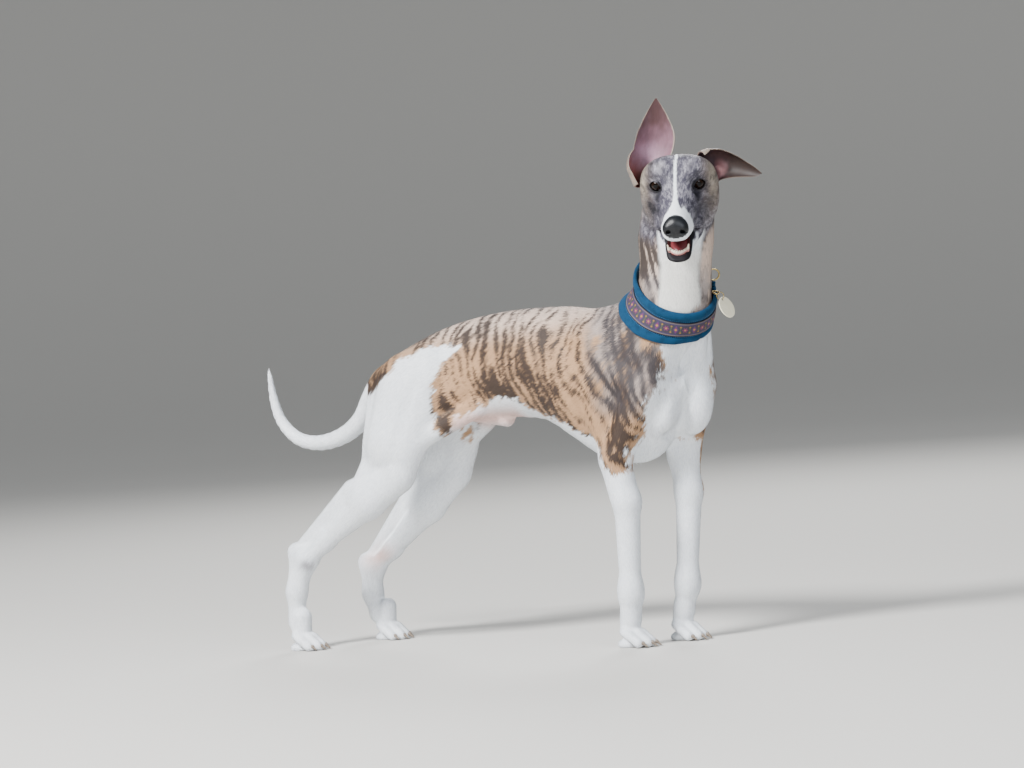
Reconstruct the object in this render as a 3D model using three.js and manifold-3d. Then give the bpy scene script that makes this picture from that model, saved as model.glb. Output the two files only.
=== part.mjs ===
// A whippet standing alert on four paws, its head turned to its right and its mouth a little open.
// Millimetres. X points to the front of the dog, Y to its left and Z up, with the floor at Z = 0.

import * as THREE from "three";
import { mergeVertices } from "three/addons/utils/BufferGeometryUtils.js";
import Module from "manifold-3d";

const wasm = await Module();
wasm.setup();

// Driving dimensions of the dog
const foreStance = 92;
const hindStance = 140;
const eyeRadius = 10.5;
const eyeSpacing = 57;
const lidThickness = 2.4;
const lidOpeningWidth = 17.5;
const lidOpeningHeight = 12.5;
const earThickness = 2.6;
const toesPerPaw = 4;
const headYaw = THREE.MathUtils.degToRad(-63);
const headPitch = THREE.MathUtils.degToRad(27);
const earTilt = THREE.MathUtils.degToRad(-4.2);
const headRoll = THREE.MathUtils.degToRad(-1.5);

// Driving dimensions of the collar and its tag
const collarWidth = 46;
const collarPadding = 5;
const ribbonWidth = 22;
const tagDiameter = 33;
const tagThickness = 1.6;

// Clearances and how far a sampled surface runs past the plane that trims it
const gap = 0.3;
const overshoot = 18;

const v = (x, y, z) => new THREE.Vector3(x, y, z);
const degrees = THREE.MathUtils.degToRad;
const dog = new THREE.Group();

// Finishes
const finish = (color, roughness, metalness = 0) =>
  new THREE.MeshStandardMaterial({ color, roughness, metalness });
const brindleCoat = finish(0x9a7452, 0.85);
const whiteCoat = finish(0xe9e6e2, 0.85);
const faceCoat = finish(0x8f8581, 0.85);
const earSkin = finish(0x9a6c66, 0.7);
const noseSkin = finish(0x23262d, 0.4);
const eyeGloss = finish(0x1a1210, 0.08);
const tongueSkin = finish(0xb4616a, 0.45);
const toothEnamel = finish(0xe8e0cf, 0.3);
const clawHorn = finish(0x8b7d70, 0.45);
const blueSuede = finish(0x14507d, 0.9);
const ribbonWeave = finish(0x5b5560, 0.85);
const paleMetal = finish(0xc9c3ae, 0.3, 1);
const ivoryMetal = finish(0xe9e3cf, 0.35, 0.6);

// Solid modelling helpers
function solidFrom(geometry) {
  const bare = geometry.clone();
  bare.deleteAttribute("normal");
  bare.deleteAttribute("uv");
  const merged = mergeVertices(bare, 1e-4);
  return new wasm.Manifold(
    new wasm.Mesh({
      numProp: 3,
      vertProperties: new Float32Array(merged.attributes.position.array),
      triVerts: new Uint32Array(merged.index.array),
    }),
  );
}

function geometryFrom(solid) {
  const mesh = solid.getMesh();
  const geometry = new THREE.BufferGeometry();
  geometry.setAttribute("position", new THREE.BufferAttribute(new Float32Array(mesh.vertProperties), 3));
  geometry.setIndex(new THREE.BufferAttribute(new Uint32Array(mesh.triVerts), 1));
  geometry.computeVertexNormals();
  return geometry;
}

function largest(solid) {
  const bodies = solid.decompose();
  return bodies.reduce((best, body) => (body.volume() > best.volume() ? body : best));
}

function addNode(name, solid, material) {
  const mesh = new THREE.Mesh(geometryFrom(largest(solid)), material);
  mesh.name = name;
  dog.add(mesh);
}

// A plane keeps the side that its normal points away from.
const plane = (normal, point) => {
  const n = normal.clone().normalize();
  return { n, d: n.dot(point) };
};
const flip = (p) => ({ n: p.n.clone().negate(), d: -p.d });
const side = (p, x, y, z) => p.n.x * x + p.n.y * y + p.n.z * z - p.d;

function trim(solid, planes) {
  return planes.reduce((left, p) => left.trimByPlane([-p.n.x, -p.n.y, -p.n.z], -p.d + gap / 2), solid);
}

// Distance fields: negative inside the flesh
function smoothMin(a, b, k) {
  const h = Math.max(k - Math.abs(a - b), 0) / k;
  return Math.min(a, b) - h * h * k * 0.25;
}

// A round bar that tapers from one end to the other, made narrower across Y by squeeze
function bar(a, ra, b, rb, squeeze = 1) {
  const along = b.clone().sub(a);
  const length2 = along.lengthSq();
  const soften = 1 / Math.sqrt(squeeze);
  return (x, y, z) => {
    const px = x - a.x;
    const py = y - a.y;
    const pz = z - a.z;
    const t = Math.min(Math.max((px * along.x + py * along.y + pz * along.z) / length2, 0), 1);
    const dx = px - t * along.x;
    const dy = (py - t * along.y) * squeeze;
    const dz = pz - t * along.z;
    return (Math.sqrt(dx * dx + dy * dy + dz * dz) - ra - t * (rb - ra)) * soften;
  };
}

function egg(centre, rx, ry, rz) {
  return (x, y, z) => {
    const ax = (x - centre.x) / rx;
    const ay = (y - centre.y) / ry;
    const az = (z - centre.z) / rz;
    const k0 = Math.sqrt(ax * ax + ay * ay + az * az);
    const k1 = Math.sqrt((ax / rx) ** 2 + (ay / ry) ** 2 + (az / rz) ** 2);
    return k1 > 0 ? (k0 * (k0 - 1)) / k1 : -Math.min(rx, ry, rz);
  };
}

const blend = (fields, k) => (x, y, z) => {
  let d = fields[0](x, y, z);
  for (let i = 1; i < fields.length; i += 1) d = smoothMin(d, fields[i](x, y, z), k);
  return d;
};

// A chain of bars through [point, radius] pairs
function chain(links, squeeze = 1, k = 8) {
  const bars = [];
  for (let i = 1; i < links.length; i += 1) {
    bars.push(bar(links[i - 1][0], links[i - 1][1], links[i][0], links[i][1], squeeze));
  }
  return blend(bars, k);
}

// A smooth value between stations of increasing x, one column of the table
function between(table, column, x) {
  const last = table.length - 1;
  if (x <= table[0][0]) return table[0][column];
  if (x >= table[last][0]) return table[last][column];
  let i = 0;
  while (table[i + 1][0] < x) i += 1;
  const t = (x - table[i][0]) / (table[i + 1][0] - table[i][0]);
  const p0 = table[Math.max(i - 1, 0)];
  const p1 = table[i];
  const p2 = table[i + 1];
  const p3 = table[Math.min(i + 2, last)];
  const slope1 = (p2[column] - p0[column]) / (p2[0] - p0[0]);
  const slope2 = (p3[column] - p1[column]) / (p3[0] - p1[0]);
  const span = p2[0] - p1[0];
  const t2 = t * t;
  const t3 = t2 * t;
  return (
    (2 * t3 - 3 * t2 + 1) * p1[column] +
    (t3 - 2 * t2 + t) * span * slope1 +
    (3 * t2 - 2 * t3) * p2[column] +
    (t3 - t2) * span * slope2
  );
}

// Flesh given by sections across X. Each row holds x, top, bottom, half width and the share of the height
// at which the section is widest; powers shape its upper and lower half.
function sections(table, upperPower, lowerPower) {
  const start = table[0][0];
  const end = table[table.length - 1][0];
  return (x, y, z) => {
    const at = Math.min(Math.max(x, start), end);
    const top = between(table, 1, at);
    const bottom = between(table, 2, at);
    const half = Math.max(between(table, 3, at), 1);
    const middle = bottom + (top - bottom) * between(table, 4, at);
    const height = z > middle ? top - middle : middle - bottom;
    const power = z > middle ? upperPower : lowerPower;
    const size = (Math.abs(y / half) ** power + Math.abs((z - middle) / height) ** power) ** (1 / power);
    const section = (size - 1) * Math.min(half, height) * 0.9;
    const beyond = Math.abs(x - at);
    return beyond > 0 ? Math.max(section, 0) + beyond : section;
  };
}

// The trunk
const trunkField = sections(
  [
    [-480, 412, 400, 6, 0.53],
    [-466, 427, 384, 24, 0.53],
    [-440, 444, 370, 36, 0.53],
    [-400, 463, 360, 46, 0.53],
    [-350, 482, 354, 50, 0.53],
    [-300, 495, 350, 50, 0.53],
    [-250, 503, 346, 54, 0.53],
    [-200, 507, 343, 62, 0.53],
    [-150, 508, 335, 69, 0.53],
    [-100, 506, 305, 71, 0.53],
    [-60, 501, 279, 68, 0.53],
    [-20, 499, 268, 64, 0.53],
    [20, 488, 269, 57, 0.53],
    [50, 466, 288, 47, 0.53],
    [75, 430, 332, 32, 0.53],
    [92, 398, 372, 8, 0.53],
  ],
  2,
  1.9,
);

// The neck, leaning forward and to the right from the shoulders to the skull
const neckLinks = [
  [v(-15, 0, 425), 66],
  [v(42, -2, 455), 58],
  [v(84, -8, 498), 52],
  [v(92, -10, 540), 49.5],
  [v(96, -8, 592), 52],
  [v(102, -6, 630), 49],
  [v(107, -3, 660), 38],
];
const neckField = chain(neckLinks, 1.04, 16);

// The legs. Each leg's points are the centres of its flesh at that joint.
const legs = {
  foreRight: {
    sign: -1,
    blade: v(-52, -36, 452),
    shoulder: v(44, -46, 374),
    triceps: v(-40, -48, 385),
    elbow: v(-6, -53, 280),
    forearm: v(6, -51, 215),
    wrist: v(-1, -47.5, 84),
    pastern: v(-5, -46, 42),
    paw: v(-8, -foreStance / 2, 0),
    turn: 4,
  },
  foreLeft: {
    sign: 1,
    blade: v(-38, 36, 452),
    shoulder: v(77, 49, 374),
    triceps: v(-8, 48, 388),
    elbow: v(46, 54, 280),
    forearm: v(50, 51, 220),
    wrist: v(41, 43.5, 88),
    pastern: v(34, 42, 44),
    paw: v(28, foreStance / 2 - 4, 0),
    turn: -4,
  },
  hindRight: {
    sign: -1,
    hip: v(-385, -42, 400),
    knee: v(-402, -60, 268),
    calf: v(-462, -63, 232),
    hock: v(-588, -66, 143),
    heel: v(-609, -66, 154),
    shank: v(-610, -69, 92),
    pastern: v(-613, -70, 44),
    paw: v(-604, -hindStance / 2 - 1, 0),
    turn: 3,
  },
  hindLeft: {
    sign: 1,
    hip: v(-385, 42, 400),
    knee: v(-384, 60, 260),
    calf: v(-440, 62, 214),
    hock: v(-558, 66, 118),
    heel: v(-573, 66, 124),
    shank: v(-566, 68, 74),
    pastern: v(-559, 69, 40),
    paw: v(-544, hindStance / 2, 0),
    turn: -3,
  },
};

function foreField(leg) {
  const out = leg.sign;
  const forearmBack = v(leg.elbow.x, leg.elbow.y, 230);
  const atWrist = (rise) => v(leg.wrist.x + 1, leg.wrist.y, leg.wrist.z + rise);
  return blend(
    [
      bar(leg.blade, 26, leg.shoulder, 27),
      bar(v(out > 0 ? 92 : 66, out * 22 - 6, 458), out > 0 ? 33 : 31, v(leg.shoulder.x + 8, out * 40, 392), 27),
      bar(v(leg.blade.x + 4, out * 40, 420), 24, leg.triceps, 26, 1.1),
      bar(leg.shoulder, 28, leg.elbow, 23),
      bar(leg.triceps, 26, v(leg.elbow.x - 10, leg.elbow.y, leg.elbow.z + 4), 15),
      bar(v(leg.elbow.x - 18, leg.elbow.y - out * 2, leg.elbow.z - 10), 10, forearmBack, 14),
      bar(leg.elbow, 22, leg.forearm, 20.5, 1.05),
      bar(leg.forearm, 20.5, leg.wrist, 16.5, 1.08),
      bar(atWrist(10), 15, atWrist(-8), 17),
      bar(leg.wrist, 16.5, leg.pastern, 15.5),
    ],
    12,
  );
}

function hindField(leg) {
  const out = leg.sign;
  const seat = v(-434, out * 34, 400);
  const hamstring = v(leg.knee.x - 26, leg.knee.y - out * 6, leg.knee.z + 44);
  const aboveHock = v(leg.hock.x + 40, leg.hock.y, leg.hock.z + 27);
  const tendonTop = v(leg.calf.x - 30, leg.calf.y, leg.calf.z + 16);
  return blend(
    [
      bar(v(-345, out * 34, 432), 38, v(leg.hip.x, leg.hip.y, leg.hip.z - 6), 50, 1.35),
      bar(seat, 30, hamstring, 36, 1.3),
      bar(leg.hip, 54, v(leg.knee.x - 4, leg.knee.y, leg.knee.z + 50), 50, 1.6),
      bar(v(-345, out * 42, 405), 34, v(leg.knee.x + 8, leg.knee.y, leg.knee.z + 8), 25, 1.25),
      bar(v(-292, out * 28, 396), 24, v(leg.knee.x + 34, leg.knee.y - out * 10, leg.knee.z + 84), 24, 1.3),
      bar(v(-262, out * 34, 362), 14, v(leg.knee.x + 22, leg.knee.y - out * 4, leg.knee.z + 44), 17, 1.2),
      bar(v(leg.knee.x - 2, leg.knee.y, leg.knee.z - 4), 27, leg.calf, 30, 1.25),
      bar(hamstring, 28, v(leg.calf.x - 8, leg.calf.y, leg.calf.z + 14), 22, 1.45),
      bar(leg.calf, 29, aboveHock, 15, 1.25),
      bar(aboveHock, 15, leg.hock, 17, 1.1),
      bar(tendonTop, 15, v(leg.heel.x + 6, leg.heel.y, leg.heel.z + 6), 7.5, 1.1),
      bar(leg.heel, 9.5, leg.hock, 15),
      bar(leg.hock, 17, leg.shank, 14.5, 1.05),
      bar(leg.heel, 10, leg.shank, 13),
      bar(leg.shank, 14.5, leg.pastern, 14.5),
    ],
    12,
  );
}

// A paw in its own frame, x towards the toes, standing on z = 0
const toes = [];
for (let i = 0; i < toesPerPaw; i += 1) {
  const offset = i - (toesPerPaw - 1) / 2;
  const inner = Math.abs(offset) < 1;
  toes.push({
    root: v(-2, offset * 8, 24),
    knuckle: v(inner ? 17 : 9, offset * 11, inner ? 18.5 : 17),
    tip: v(inner ? 31 : 22, offset * 11.6, 7.3),
    claw: v(inner ? 47 : 37.5, offset * 12.4, 2.2),
    radius: inner ? 8.4 : 7.9,
  });
}
const pawField = blend(
  [
    bar(v(4, 0, 52), 14.5, v(0, 0, 26), 16),
    egg(v(-3, 0, 5), 18, 16.5, 9.5),
    ...toes.map((toe) => chain([[toe.root, 9], [toe.knuckle, toe.radius], [toe.tip, toe.radius]], 1, 3)),
  ],
  4.5,
);

function pawAt(leg) {
  const angle = degrees(leg.turn);
  const cos = Math.cos(angle);
  const sin = Math.sin(angle);
  return (x, y, z) => {
    const dx = x - leg.paw.x;
    const dy = y - leg.paw.y;
    return pawField(dx * cos + dy * sin, dy * cos - dx * sin, z);
  };
}

// The head in its own frame: origin midway between the eyes, x to the nose, y to its left, z up
const headOrigin = v(152, -83.5, 666.4);
const headMatrix = new THREE.Matrix4()
  .makeTranslation(headOrigin.x, headOrigin.y, headOrigin.z)
  .multiply(new THREE.Matrix4().makeRotationZ(headYaw))
  .multiply(new THREE.Matrix4().makeRotationY(headPitch))
  .multiply(new THREE.Matrix4().makeRotationX(headRoll));
const headInverse = headMatrix.clone().invert();
const toHead = headInverse.elements;
const fromHead = (p) => p.clone().applyMatrix4(headMatrix);
const turnFromHead = (p) => p.clone().transformDirection(headMatrix);

const inHead = (field) => (x, y, z) =>
  field(
    toHead[0] * x + toHead[4] * y + toHead[8] * z + toHead[12],
    toHead[1] * x + toHead[5] * y + toHead[9] * z + toHead[13],
    toHead[2] * x + toHead[6] * y + toHead[10] * z + toHead[14],
  );

const pair = (make) => [make(-1), make(1)];
const eyeCentre = (s) => v(-9.5, s * (eyeSpacing / 2), 0);
const mouthCorner = v(33, 0, -51);

const skullField = sections(
  [
    [-92, 2, -24, 8, 0.5],
    [-82, 10, -44, 33, 0.45],
    [-68, 18, -62, 48, 0.45],
    [-52, 25.5, -76, 55, 0.5],
    [-36, 30, -84, 57, 0.55],
    [-22, 30.5, -85, 55, 0.57],
    [-10, 27, -83, 49, 0.56],
    [0, 21, -79, 41, 0.52],
    [10, 14, -74, 34, 0.46],
    [24, 6, -66, 30, 0.38],
  ],
  2.7,
  2.7,
);
const muzzleField = sections(
  [
    [-14, 20, -44, 14, 0.5],
    [0, 14.5, -48, 19.5, 0.4],
    [16, 8, -51, 25, 0.3],
    [34, 3, -51.5, 28, 0.27],
    [52, -0.5, -50, 25, 0.27],
    [70, -4, -47.5, 22.5, 0.3],
    [82, -8, -45.4, 20.5, 0.36],
    [91, -14, -43.4, 17.5, 0.42],
    [96, -25, -41, 10, 0.45],
  ],
  1.85,
  2.6,
);
const lowerJawField = sections(
  [
    [4, -48, -82, 34, 0.5],
    [22, -51, -81.5, 33, 0.6],
    [38, -52.5, -80.5, 28, 0.6],
    [54, -57, -81, 23, 0.6],
    [68, -64, -81.5, 19.5, 0.6],
    [80, -70, -81.5, 17, 0.6],
    [88, -73, -79, 10.5, 0.5],
  ],
  2.6,
  2,
);
const lipCorners = pair((s) =>
  bar(v(8, s * 30, -44), 9, v(mouthCorner.x - 1, s * 28.5, mouthCorner.z + 4), 6.5),
);
const browRidges = pair((s) => bar(v(-5, s * 20, 18), 8, v(-19, s * 37, 12), 8.5));
const plainHead = blend(
  [blend([skullField, muzzleField], 9), ...lipCorners, ...browRidges],
  7,
);

// The pad of the nose with its two wings stands out of the end of the muzzle
const nosePad = blend(
  [egg(v(87.5, 0, -22), 14.5, 17, 16.5), ...pair((s) => egg(v(92, s * 10.5, -23), 9, 7.5, 9.5))],
  5,
);

// Each eye stands in a shallow hollow with lids as thick as their rim
const hollowDepth = 7;
const eyeTurn = degrees(25);
const eyeOut = (s) => v(Math.cos(eyeTurn), s * Math.sin(eyeTurn), 0);
const ballField = (centre, radius) => (x, y, z) =>
  Math.hypot(x - centre.x, y - centre.y, z - centre.z) - radius;
const eyeHollows = pair((s) => ballField(eyeCentre(s).addScaledVector(eyeOut(s), eyeRadius + 9), 15));
const lidBalls = pair((s) => ballField(eyeCentre(s), eyeRadius + lidThickness));
const upperHeadField = (x, y, z) => {
  let d = plainHead(x, y, z);
  if (x > -30 && x < 30 && z > -30 && z < 30) {
    for (const hollow of eyeHollows) d = -smoothMin(-d, hollow(x, y, z), hollowDepth);
    for (const lid of lidBalls) d = smoothMin(d, lid(x, y, z), 3);
  }
  return d;
};
const headField = (x, y, z) => smoothMin(upperHeadField(x, y, z), lowerJawField(x, y, z), 6);

// The whole body
const trunkAndNeck = blend([trunkField, neckField], 26);
const chestField = blend([egg(v(58, -20, 352), 34, 26, 44), egg(v(79, 28, 358), 36, 28, 54)], 8);
const sheathField = bar(v(-320, 0, 358), 13, v(-232, 0, 341), 10.5);
const foreFields = [foreField(legs.foreRight), foreField(legs.foreLeft)];
const hindFields = [hindField(legs.hindRight), hindField(legs.hindLeft)];
const pawFields = Object.values(legs).map(pawAt);
const headInPlace = inHead(headField);

function bodyField(x, y, z) {
  let d = 1e3;
  if (z > 225) {
    d = trunkAndNeck(x, y, z);
    if (x > -40) d = smoothMin(d, chestField(x, y, z), 16);
    if (x < -150) d = smoothMin(d, sheathField(x, y, z), 10);
  }
  if (x > -160 && z < 520) for (const f of foreFields) d = smoothMin(d, f(x, y, z), 14);
  if (x < -190) for (const f of hindFields) d = smoothMin(d, f(x, y, z), 14);
  if (z < 75) for (const f of pawFields) d = smoothMin(d, f(x, y, z), 7);
  if (z > 530) d = smoothMin(d, headInPlace(x, y, z), 14);
  return d;
}

const clipped = (field, planes) => (x, y, z) => {
  let d = field(x, y, z);
  for (const p of planes) d = Math.max(d, side(p, x, y, z) - overshoot);
  return d;
};

// The distance from an inner point along a direction to the surface, found by stepping and halving
function reach(field, from, to, level) {
  let near = 0;
  let far = 0;
  let d = field(from.x, from.y, from.z) - level;
  while (d < 0 && far < 400) {
    near = far;
    far += Math.max(-d * 0.7, 1);
    d = field(from.x + to.x * far, from.y + to.y * far, from.z + to.z * far) - level;
  }
  for (let i = 0; i < 16; i += 1) {
    const middle = (near + far) / 2;
    const inside = field(from.x + to.x * middle, from.y + to.y * middle, from.z + to.z * middle) < level;
    if (inside) near = middle;
    else far = middle;
  }
  return near;
}

// Rings of rays round a path of [centre, normal] stations, closed by a point at each end
function loft({ stations, rings, rays, field, level = 0, angleOf = (t) => t * Math.PI * 2 }) {
  const path = new THREE.CatmullRomCurve3(stations.map((s) => s[0]), false, "catmullrom", 0.5);
  const lastStation = stations.length - 1;
  const positions = [];
  const indices = [];
  const frames = [];
  for (let i = 0; i < rings; i += 1) {
    const t = i / (rings - 1);
    const k = Math.min(Math.floor(t * lastStation), lastStation - 1);
    const centre = path.getPoint(t);
    const normal = stations[k][1].clone().lerp(stations[k + 1][1], t * lastStation - k).normalize();
    const across = v(0, 1, 0);
    across.addScaledVector(normal, -across.dot(normal)).normalize();
    const up = new THREE.Vector3().crossVectors(normal, across);
    frames.push({ centre, normal });
    for (let j = 0; j < rays; j += 1) {
      const angle = angleOf(j / rays);
      const ray = across.clone().multiplyScalar(Math.cos(angle)).addScaledVector(up, Math.sin(angle));
      const r = Math.max(reach(field, centre, ray, level), 0.2);
      positions.push(centre.x + ray.x * r, centre.y + ray.y * r, centre.z + ray.z * r);
    }
  }
  const first = frames[0];
  const last = frames[rings - 1];
  const back = first.normal.clone().negate();
  const tips = [
    first.centre.clone().addScaledVector(back, reach(field, first.centre, back, level)),
    last.centre.clone().addScaledVector(last.normal, reach(field, last.centre, last.normal, level)),
  ];
  positions.push(...tips[0].toArray(), ...tips[1].toArray());
  const startTip = rings * rays;
  for (let j = 0; j < rays; j += 1) {
    const next = (j + 1) % rays;
    for (let i = 0; i < rings - 1; i += 1) {
      const a = i * rays + j;
      const b = i * rays + next;
      indices.push(a, b, a + rays, b, b + rays, a + rays);
    }
    indices.push(startTip, next, j);
    indices.push(startTip + 1, (rings - 1) * rays + j, (rings - 1) * rays + next);
  }
  const geometry = new THREE.BufferGeometry();
  geometry.setAttribute("position", new THREE.Float32BufferAttribute(positions, 3));
  geometry.setIndex(indices);
  return solidFrom(geometry);
}

// A tube that tapers along a curve, with a point at each end
function taperedTube(points, radii, rings, sides) {
  const path = new THREE.CatmullRomCurve3(points);
  const sizes = radii.map((r, i) => [i / (radii.length - 1), r]);
  const positions = [];
  const indices = [];
  for (let i = 0; i < rings; i += 1) {
    const t = i / (rings - 1);
    const centre = path.getPoint(t);
    const normal = path.getTangent(t);
    const across = v(0, 1, 0).addScaledVector(normal, -normal.y).normalize();
    const up = new THREE.Vector3().crossVectors(normal, across);
    const radius = between(sizes, 1, t);
    for (let j = 0; j < sides; j += 1) {
      const angle = (j / sides) * Math.PI * 2;
      const p = centre
        .clone()
        .addScaledVector(across, Math.cos(angle) * radius)
        .addScaledVector(up, Math.sin(angle) * radius);
      positions.push(...p.toArray());
    }
  }
  const tail = path.getPoint(0).addScaledVector(path.getTangent(0), -radii[0] * 0.4);
  const tip = path.getPoint(1).addScaledVector(path.getTangent(1), radii[radii.length - 1] * 0.8);
  positions.push(...tail.toArray(), ...tip.toArray());
  const startTip = rings * sides;
  for (let j = 0; j < sides; j += 1) {
    const next = (j + 1) % sides;
    for (let i = 0; i < rings - 1; i += 1) {
      const a = i * sides + j;
      const b = i * sides + next;
      indices.push(a, b, a + sides, b, b + sides, a + sides);
    }
    indices.push(startTip, next, j);
    indices.push(startTip + 1, (rings - 1) * sides + j, (rings - 1) * sides + next);
  }
  const geometry = new THREE.BufferGeometry();
  geometry.setAttribute("position", new THREE.Float32BufferAttribute(positions, 3));
  geometry.setIndex(indices);
  return solidFrom(geometry);
}

// Planes between the parts of the body. A plane's normal points out of the part that it bounds.
const collarMiddle = v(84, -9, 500);
const collarNormal = v(0.69, -0.51, 1).normalize();
const collarPlane = plane(collarNormal, collarMiddle);
const haunchPlane = plane(v(-83, 0, -208), v(-262, 0, 343));
const kneePlane = (leg) => plane(v(-0.8, 0, -0.6), v(leg.knee.x - 22, 0, leg.knee.z - 14));
const hockPlane = (leg) => plane(v(-0.84, 0, -0.54), v(leg.hock.x + 22, 0, leg.hock.z + 13));
const anklePlane = plane(v(0, 0, -1), v(0, 0, 37));
const armInner = 30;
const armHeight = 396;
const armRear = -84;
const armTop = plane(v(0, 0, 1), v(0, 0, armHeight));
const armBack = plane(v(-1, 0, 0), v(armRear, 0, 0));
const armSide = (s) => plane(v(0, -s, 0), v(0, s * armInner, 0));
const elbowPlane = plane(v(0, 0, -1), v(0, 0, 252));
const wristPlane = plane(v(0, 0, -1), v(0, 0, 96));
const midline = (s) => plane(v(0, -s, 0), v(0, 0, 0));
const skullPlane = plane(turnFromHead(v(-0.05, 0, -1)), fromHead(v(-45, 0, -72)));
const nosePlane = plane(turnFromHead(v(0.97, 0, 0.24)), fromHead(v(80, 0, -5)));
const lipPlane = plane(turnFromHead(v(0.12, 0, 1)), fromHead(mouthCorner));
const cornerPlane = plane(turnFromHead(v(-1, 0, 0)), fromHead(mouthCorner));

// A block on the inner side of every listed plane
function wedge(planes, centre, size) {
  const block = solidFrom(new THREE.BoxGeometry(size, size, size)).translate([centre.x, centre.y, centre.z]);
  return planes.reduce((left, p) => left.trimByPlane([-p.n.x, -p.n.y, -p.n.z], -p.d - gap / 2), block);
}

// Trunk, with wells at the sides for the upper arms
const inArmWell = (x, y, z) => Math.max(z - armHeight, armInner - Math.abs(y), armRear - x);
const trunkPlanes = [collarPlane, haunchPlane];
const trunkBody = clipped(bodyField, trunkPlanes);
const trunkRegion = (x, y, z) => Math.max(trunkBody(x, y, z), -inArmWell(x, y, z) - overshoot);
const trunkLoft = (level) =>
  loft({
    stations: [
      [v(-450, 0, 410), v(1, 0, 0.25)],
      [v(-380, 0, 422), v(1, 0, 0.1)],
      [v(-290, 0, 424), v(1, 0, 0)],
      [v(-200, 0, 420), v(1, 0, 0)],
      [v(-110, 0, 408), v(1, 0, 0)],
      [v(-40, 0, 398), v(1, 0, 0.02)],
      [v(15, 0, 404), v(1, 0, 0.22)],
      [v(56, -4, 434), v(0.9, -0.12, 0.55)],
      [v(84, -9, 500), collarNormal],
    ],
    rings: 29,
    rays: 30,
    field: trunkRegion,
    level,
  });
const armBlocks = [-1, 1].map((s) => wedge([armTop, armBack, armSide(s)], v(0, s * 200, 300), 500));
const trunk = armBlocks.reduce((left, block) => left.subtract(block), trim(trunkLoft(0), trunkPlanes));
addNode("torso", trunk, brindleCoat);

// Neck
const neckPlanes = [flip(collarPlane), flip(skullPlane)];
const neckLoft = (level) =>
  loft({
    stations: [
      [v(76, -6, 486), collarNormal],
      [v(92, -10, 540), v(0.3, -0.2, 1)],
      [v(96, -8, 592), v(0.15, -0.2, 1)],
      [v(102, -6, 634), skullPlane.n.clone().negate()],
    ],
    rings: 9,
    rays: 27,
    field: clipped(bodyField, neckPlanes),
    level,
  });

// Head: skull and upper jaw in one piece, then the nose pad, and the lower jaw from the corner of the mouth
const bodyInHead = (x, y, z) => {
  const p = fromHead(v(x, y, z));
  return bodyField(p.x, p.y, p.z);
};
const inHeadFrame = (p) => {
  const n = p.n.clone().transformDirection(headInverse);
  const point = p.n.clone().multiplyScalar(p.d).applyMatrix4(headInverse);
  return plane(n, point);
};
const placeHead = (solid) => solid.transform(headMatrix.elements);

const headPlanes = [inHeadFrame(skullPlane)];
const headLoft = (level) =>
  loft({
    stations: [
      [v(-82, 0, -4), v(1, 0, 0)],
      [v(-56, 0, -6), v(1, 0, 0)],
      [v(-32, 0, -10), v(1, 0, 0)],
      [v(-14, 0, -12), v(1, 0, 0)],
      [v(0, 0, -13), v(1, 0, 0)],
      [v(16, 0, -16), v(1, 0, 0)],
      [v(38, 0, -20), v(1, 0, 0)],
      [v(62, 0, -24), v(1, 0, 0.05)],
      [v(78, 0, -28), v(1, 0, 0.1)],
      [v(92, 0, -34), v(1, 0, 0.2)],
    ],
    rings: 30,
    rays: 34,
    field: clipped(bodyInHead, headPlanes),
    level,
  });

// An almond opening in front of an eye, between the lids: its inner corner lies a little lower
function lidOpening(s) {
  const inner = -s * (lidOpeningWidth / 2);
  const lift = lidOpeningHeight;
  const almond = new THREE.Shape();
  almond.moveTo(inner, -2);
  almond.quadraticCurveTo(inner * 0.15, -lift * 0.8, -inner, 1.2);
  almond.quadraticCurveTo(inner * 0.3, lift * 1.15, inner, -2);
  const prism = new THREE.ExtrudeGeometry(almond, { depth: 24, bevelEnabled: false, curveSegments: 8 });
  const axes = new THREE.Matrix4().makeBasis(v(0, 1, 0), v(0, 0, 1), v(1, 0, 0));
  prism.applyMatrix4(axes);
  prism.rotateZ(s * eyeTurn);
  const c = eyeCentre(s);
  prism.translate(c.x, c.y, c.z);
  return solidFrom(prism);
}

function eyeBall(s, radius) {
  const ball = new THREE.SphereGeometry(radius, 14, 8);
  ball.rotateZ(s * eyeTurn - Math.PI / 2);
  const c = eyeCentre(s);
  ball.translate(c.x, c.y, c.z);
  return solidFrom(ball);
}

const lidCutters = [-1, 1].map((s) => eyeBall(s, eyeRadius + gap).add(lidOpening(s)));
const jawPlanes = [cornerPlane, lipPlane].map(inHeadFrame);
const jawBlock = wedge(jawPlanes, v(60, 0, -80), 160);

// The hollow of the mouth, open between the lips
const mouthHollow = taperedTube(
  [v(30, 0, -56), v(48, 0, -58), v(66, 0, -60), v(84, 0, -61.5), v(100, 0, -62)],
  [5, 8.5, 11, 10, 9],
  8,
  12,
).scale([1, 1.5, 1]);

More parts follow.
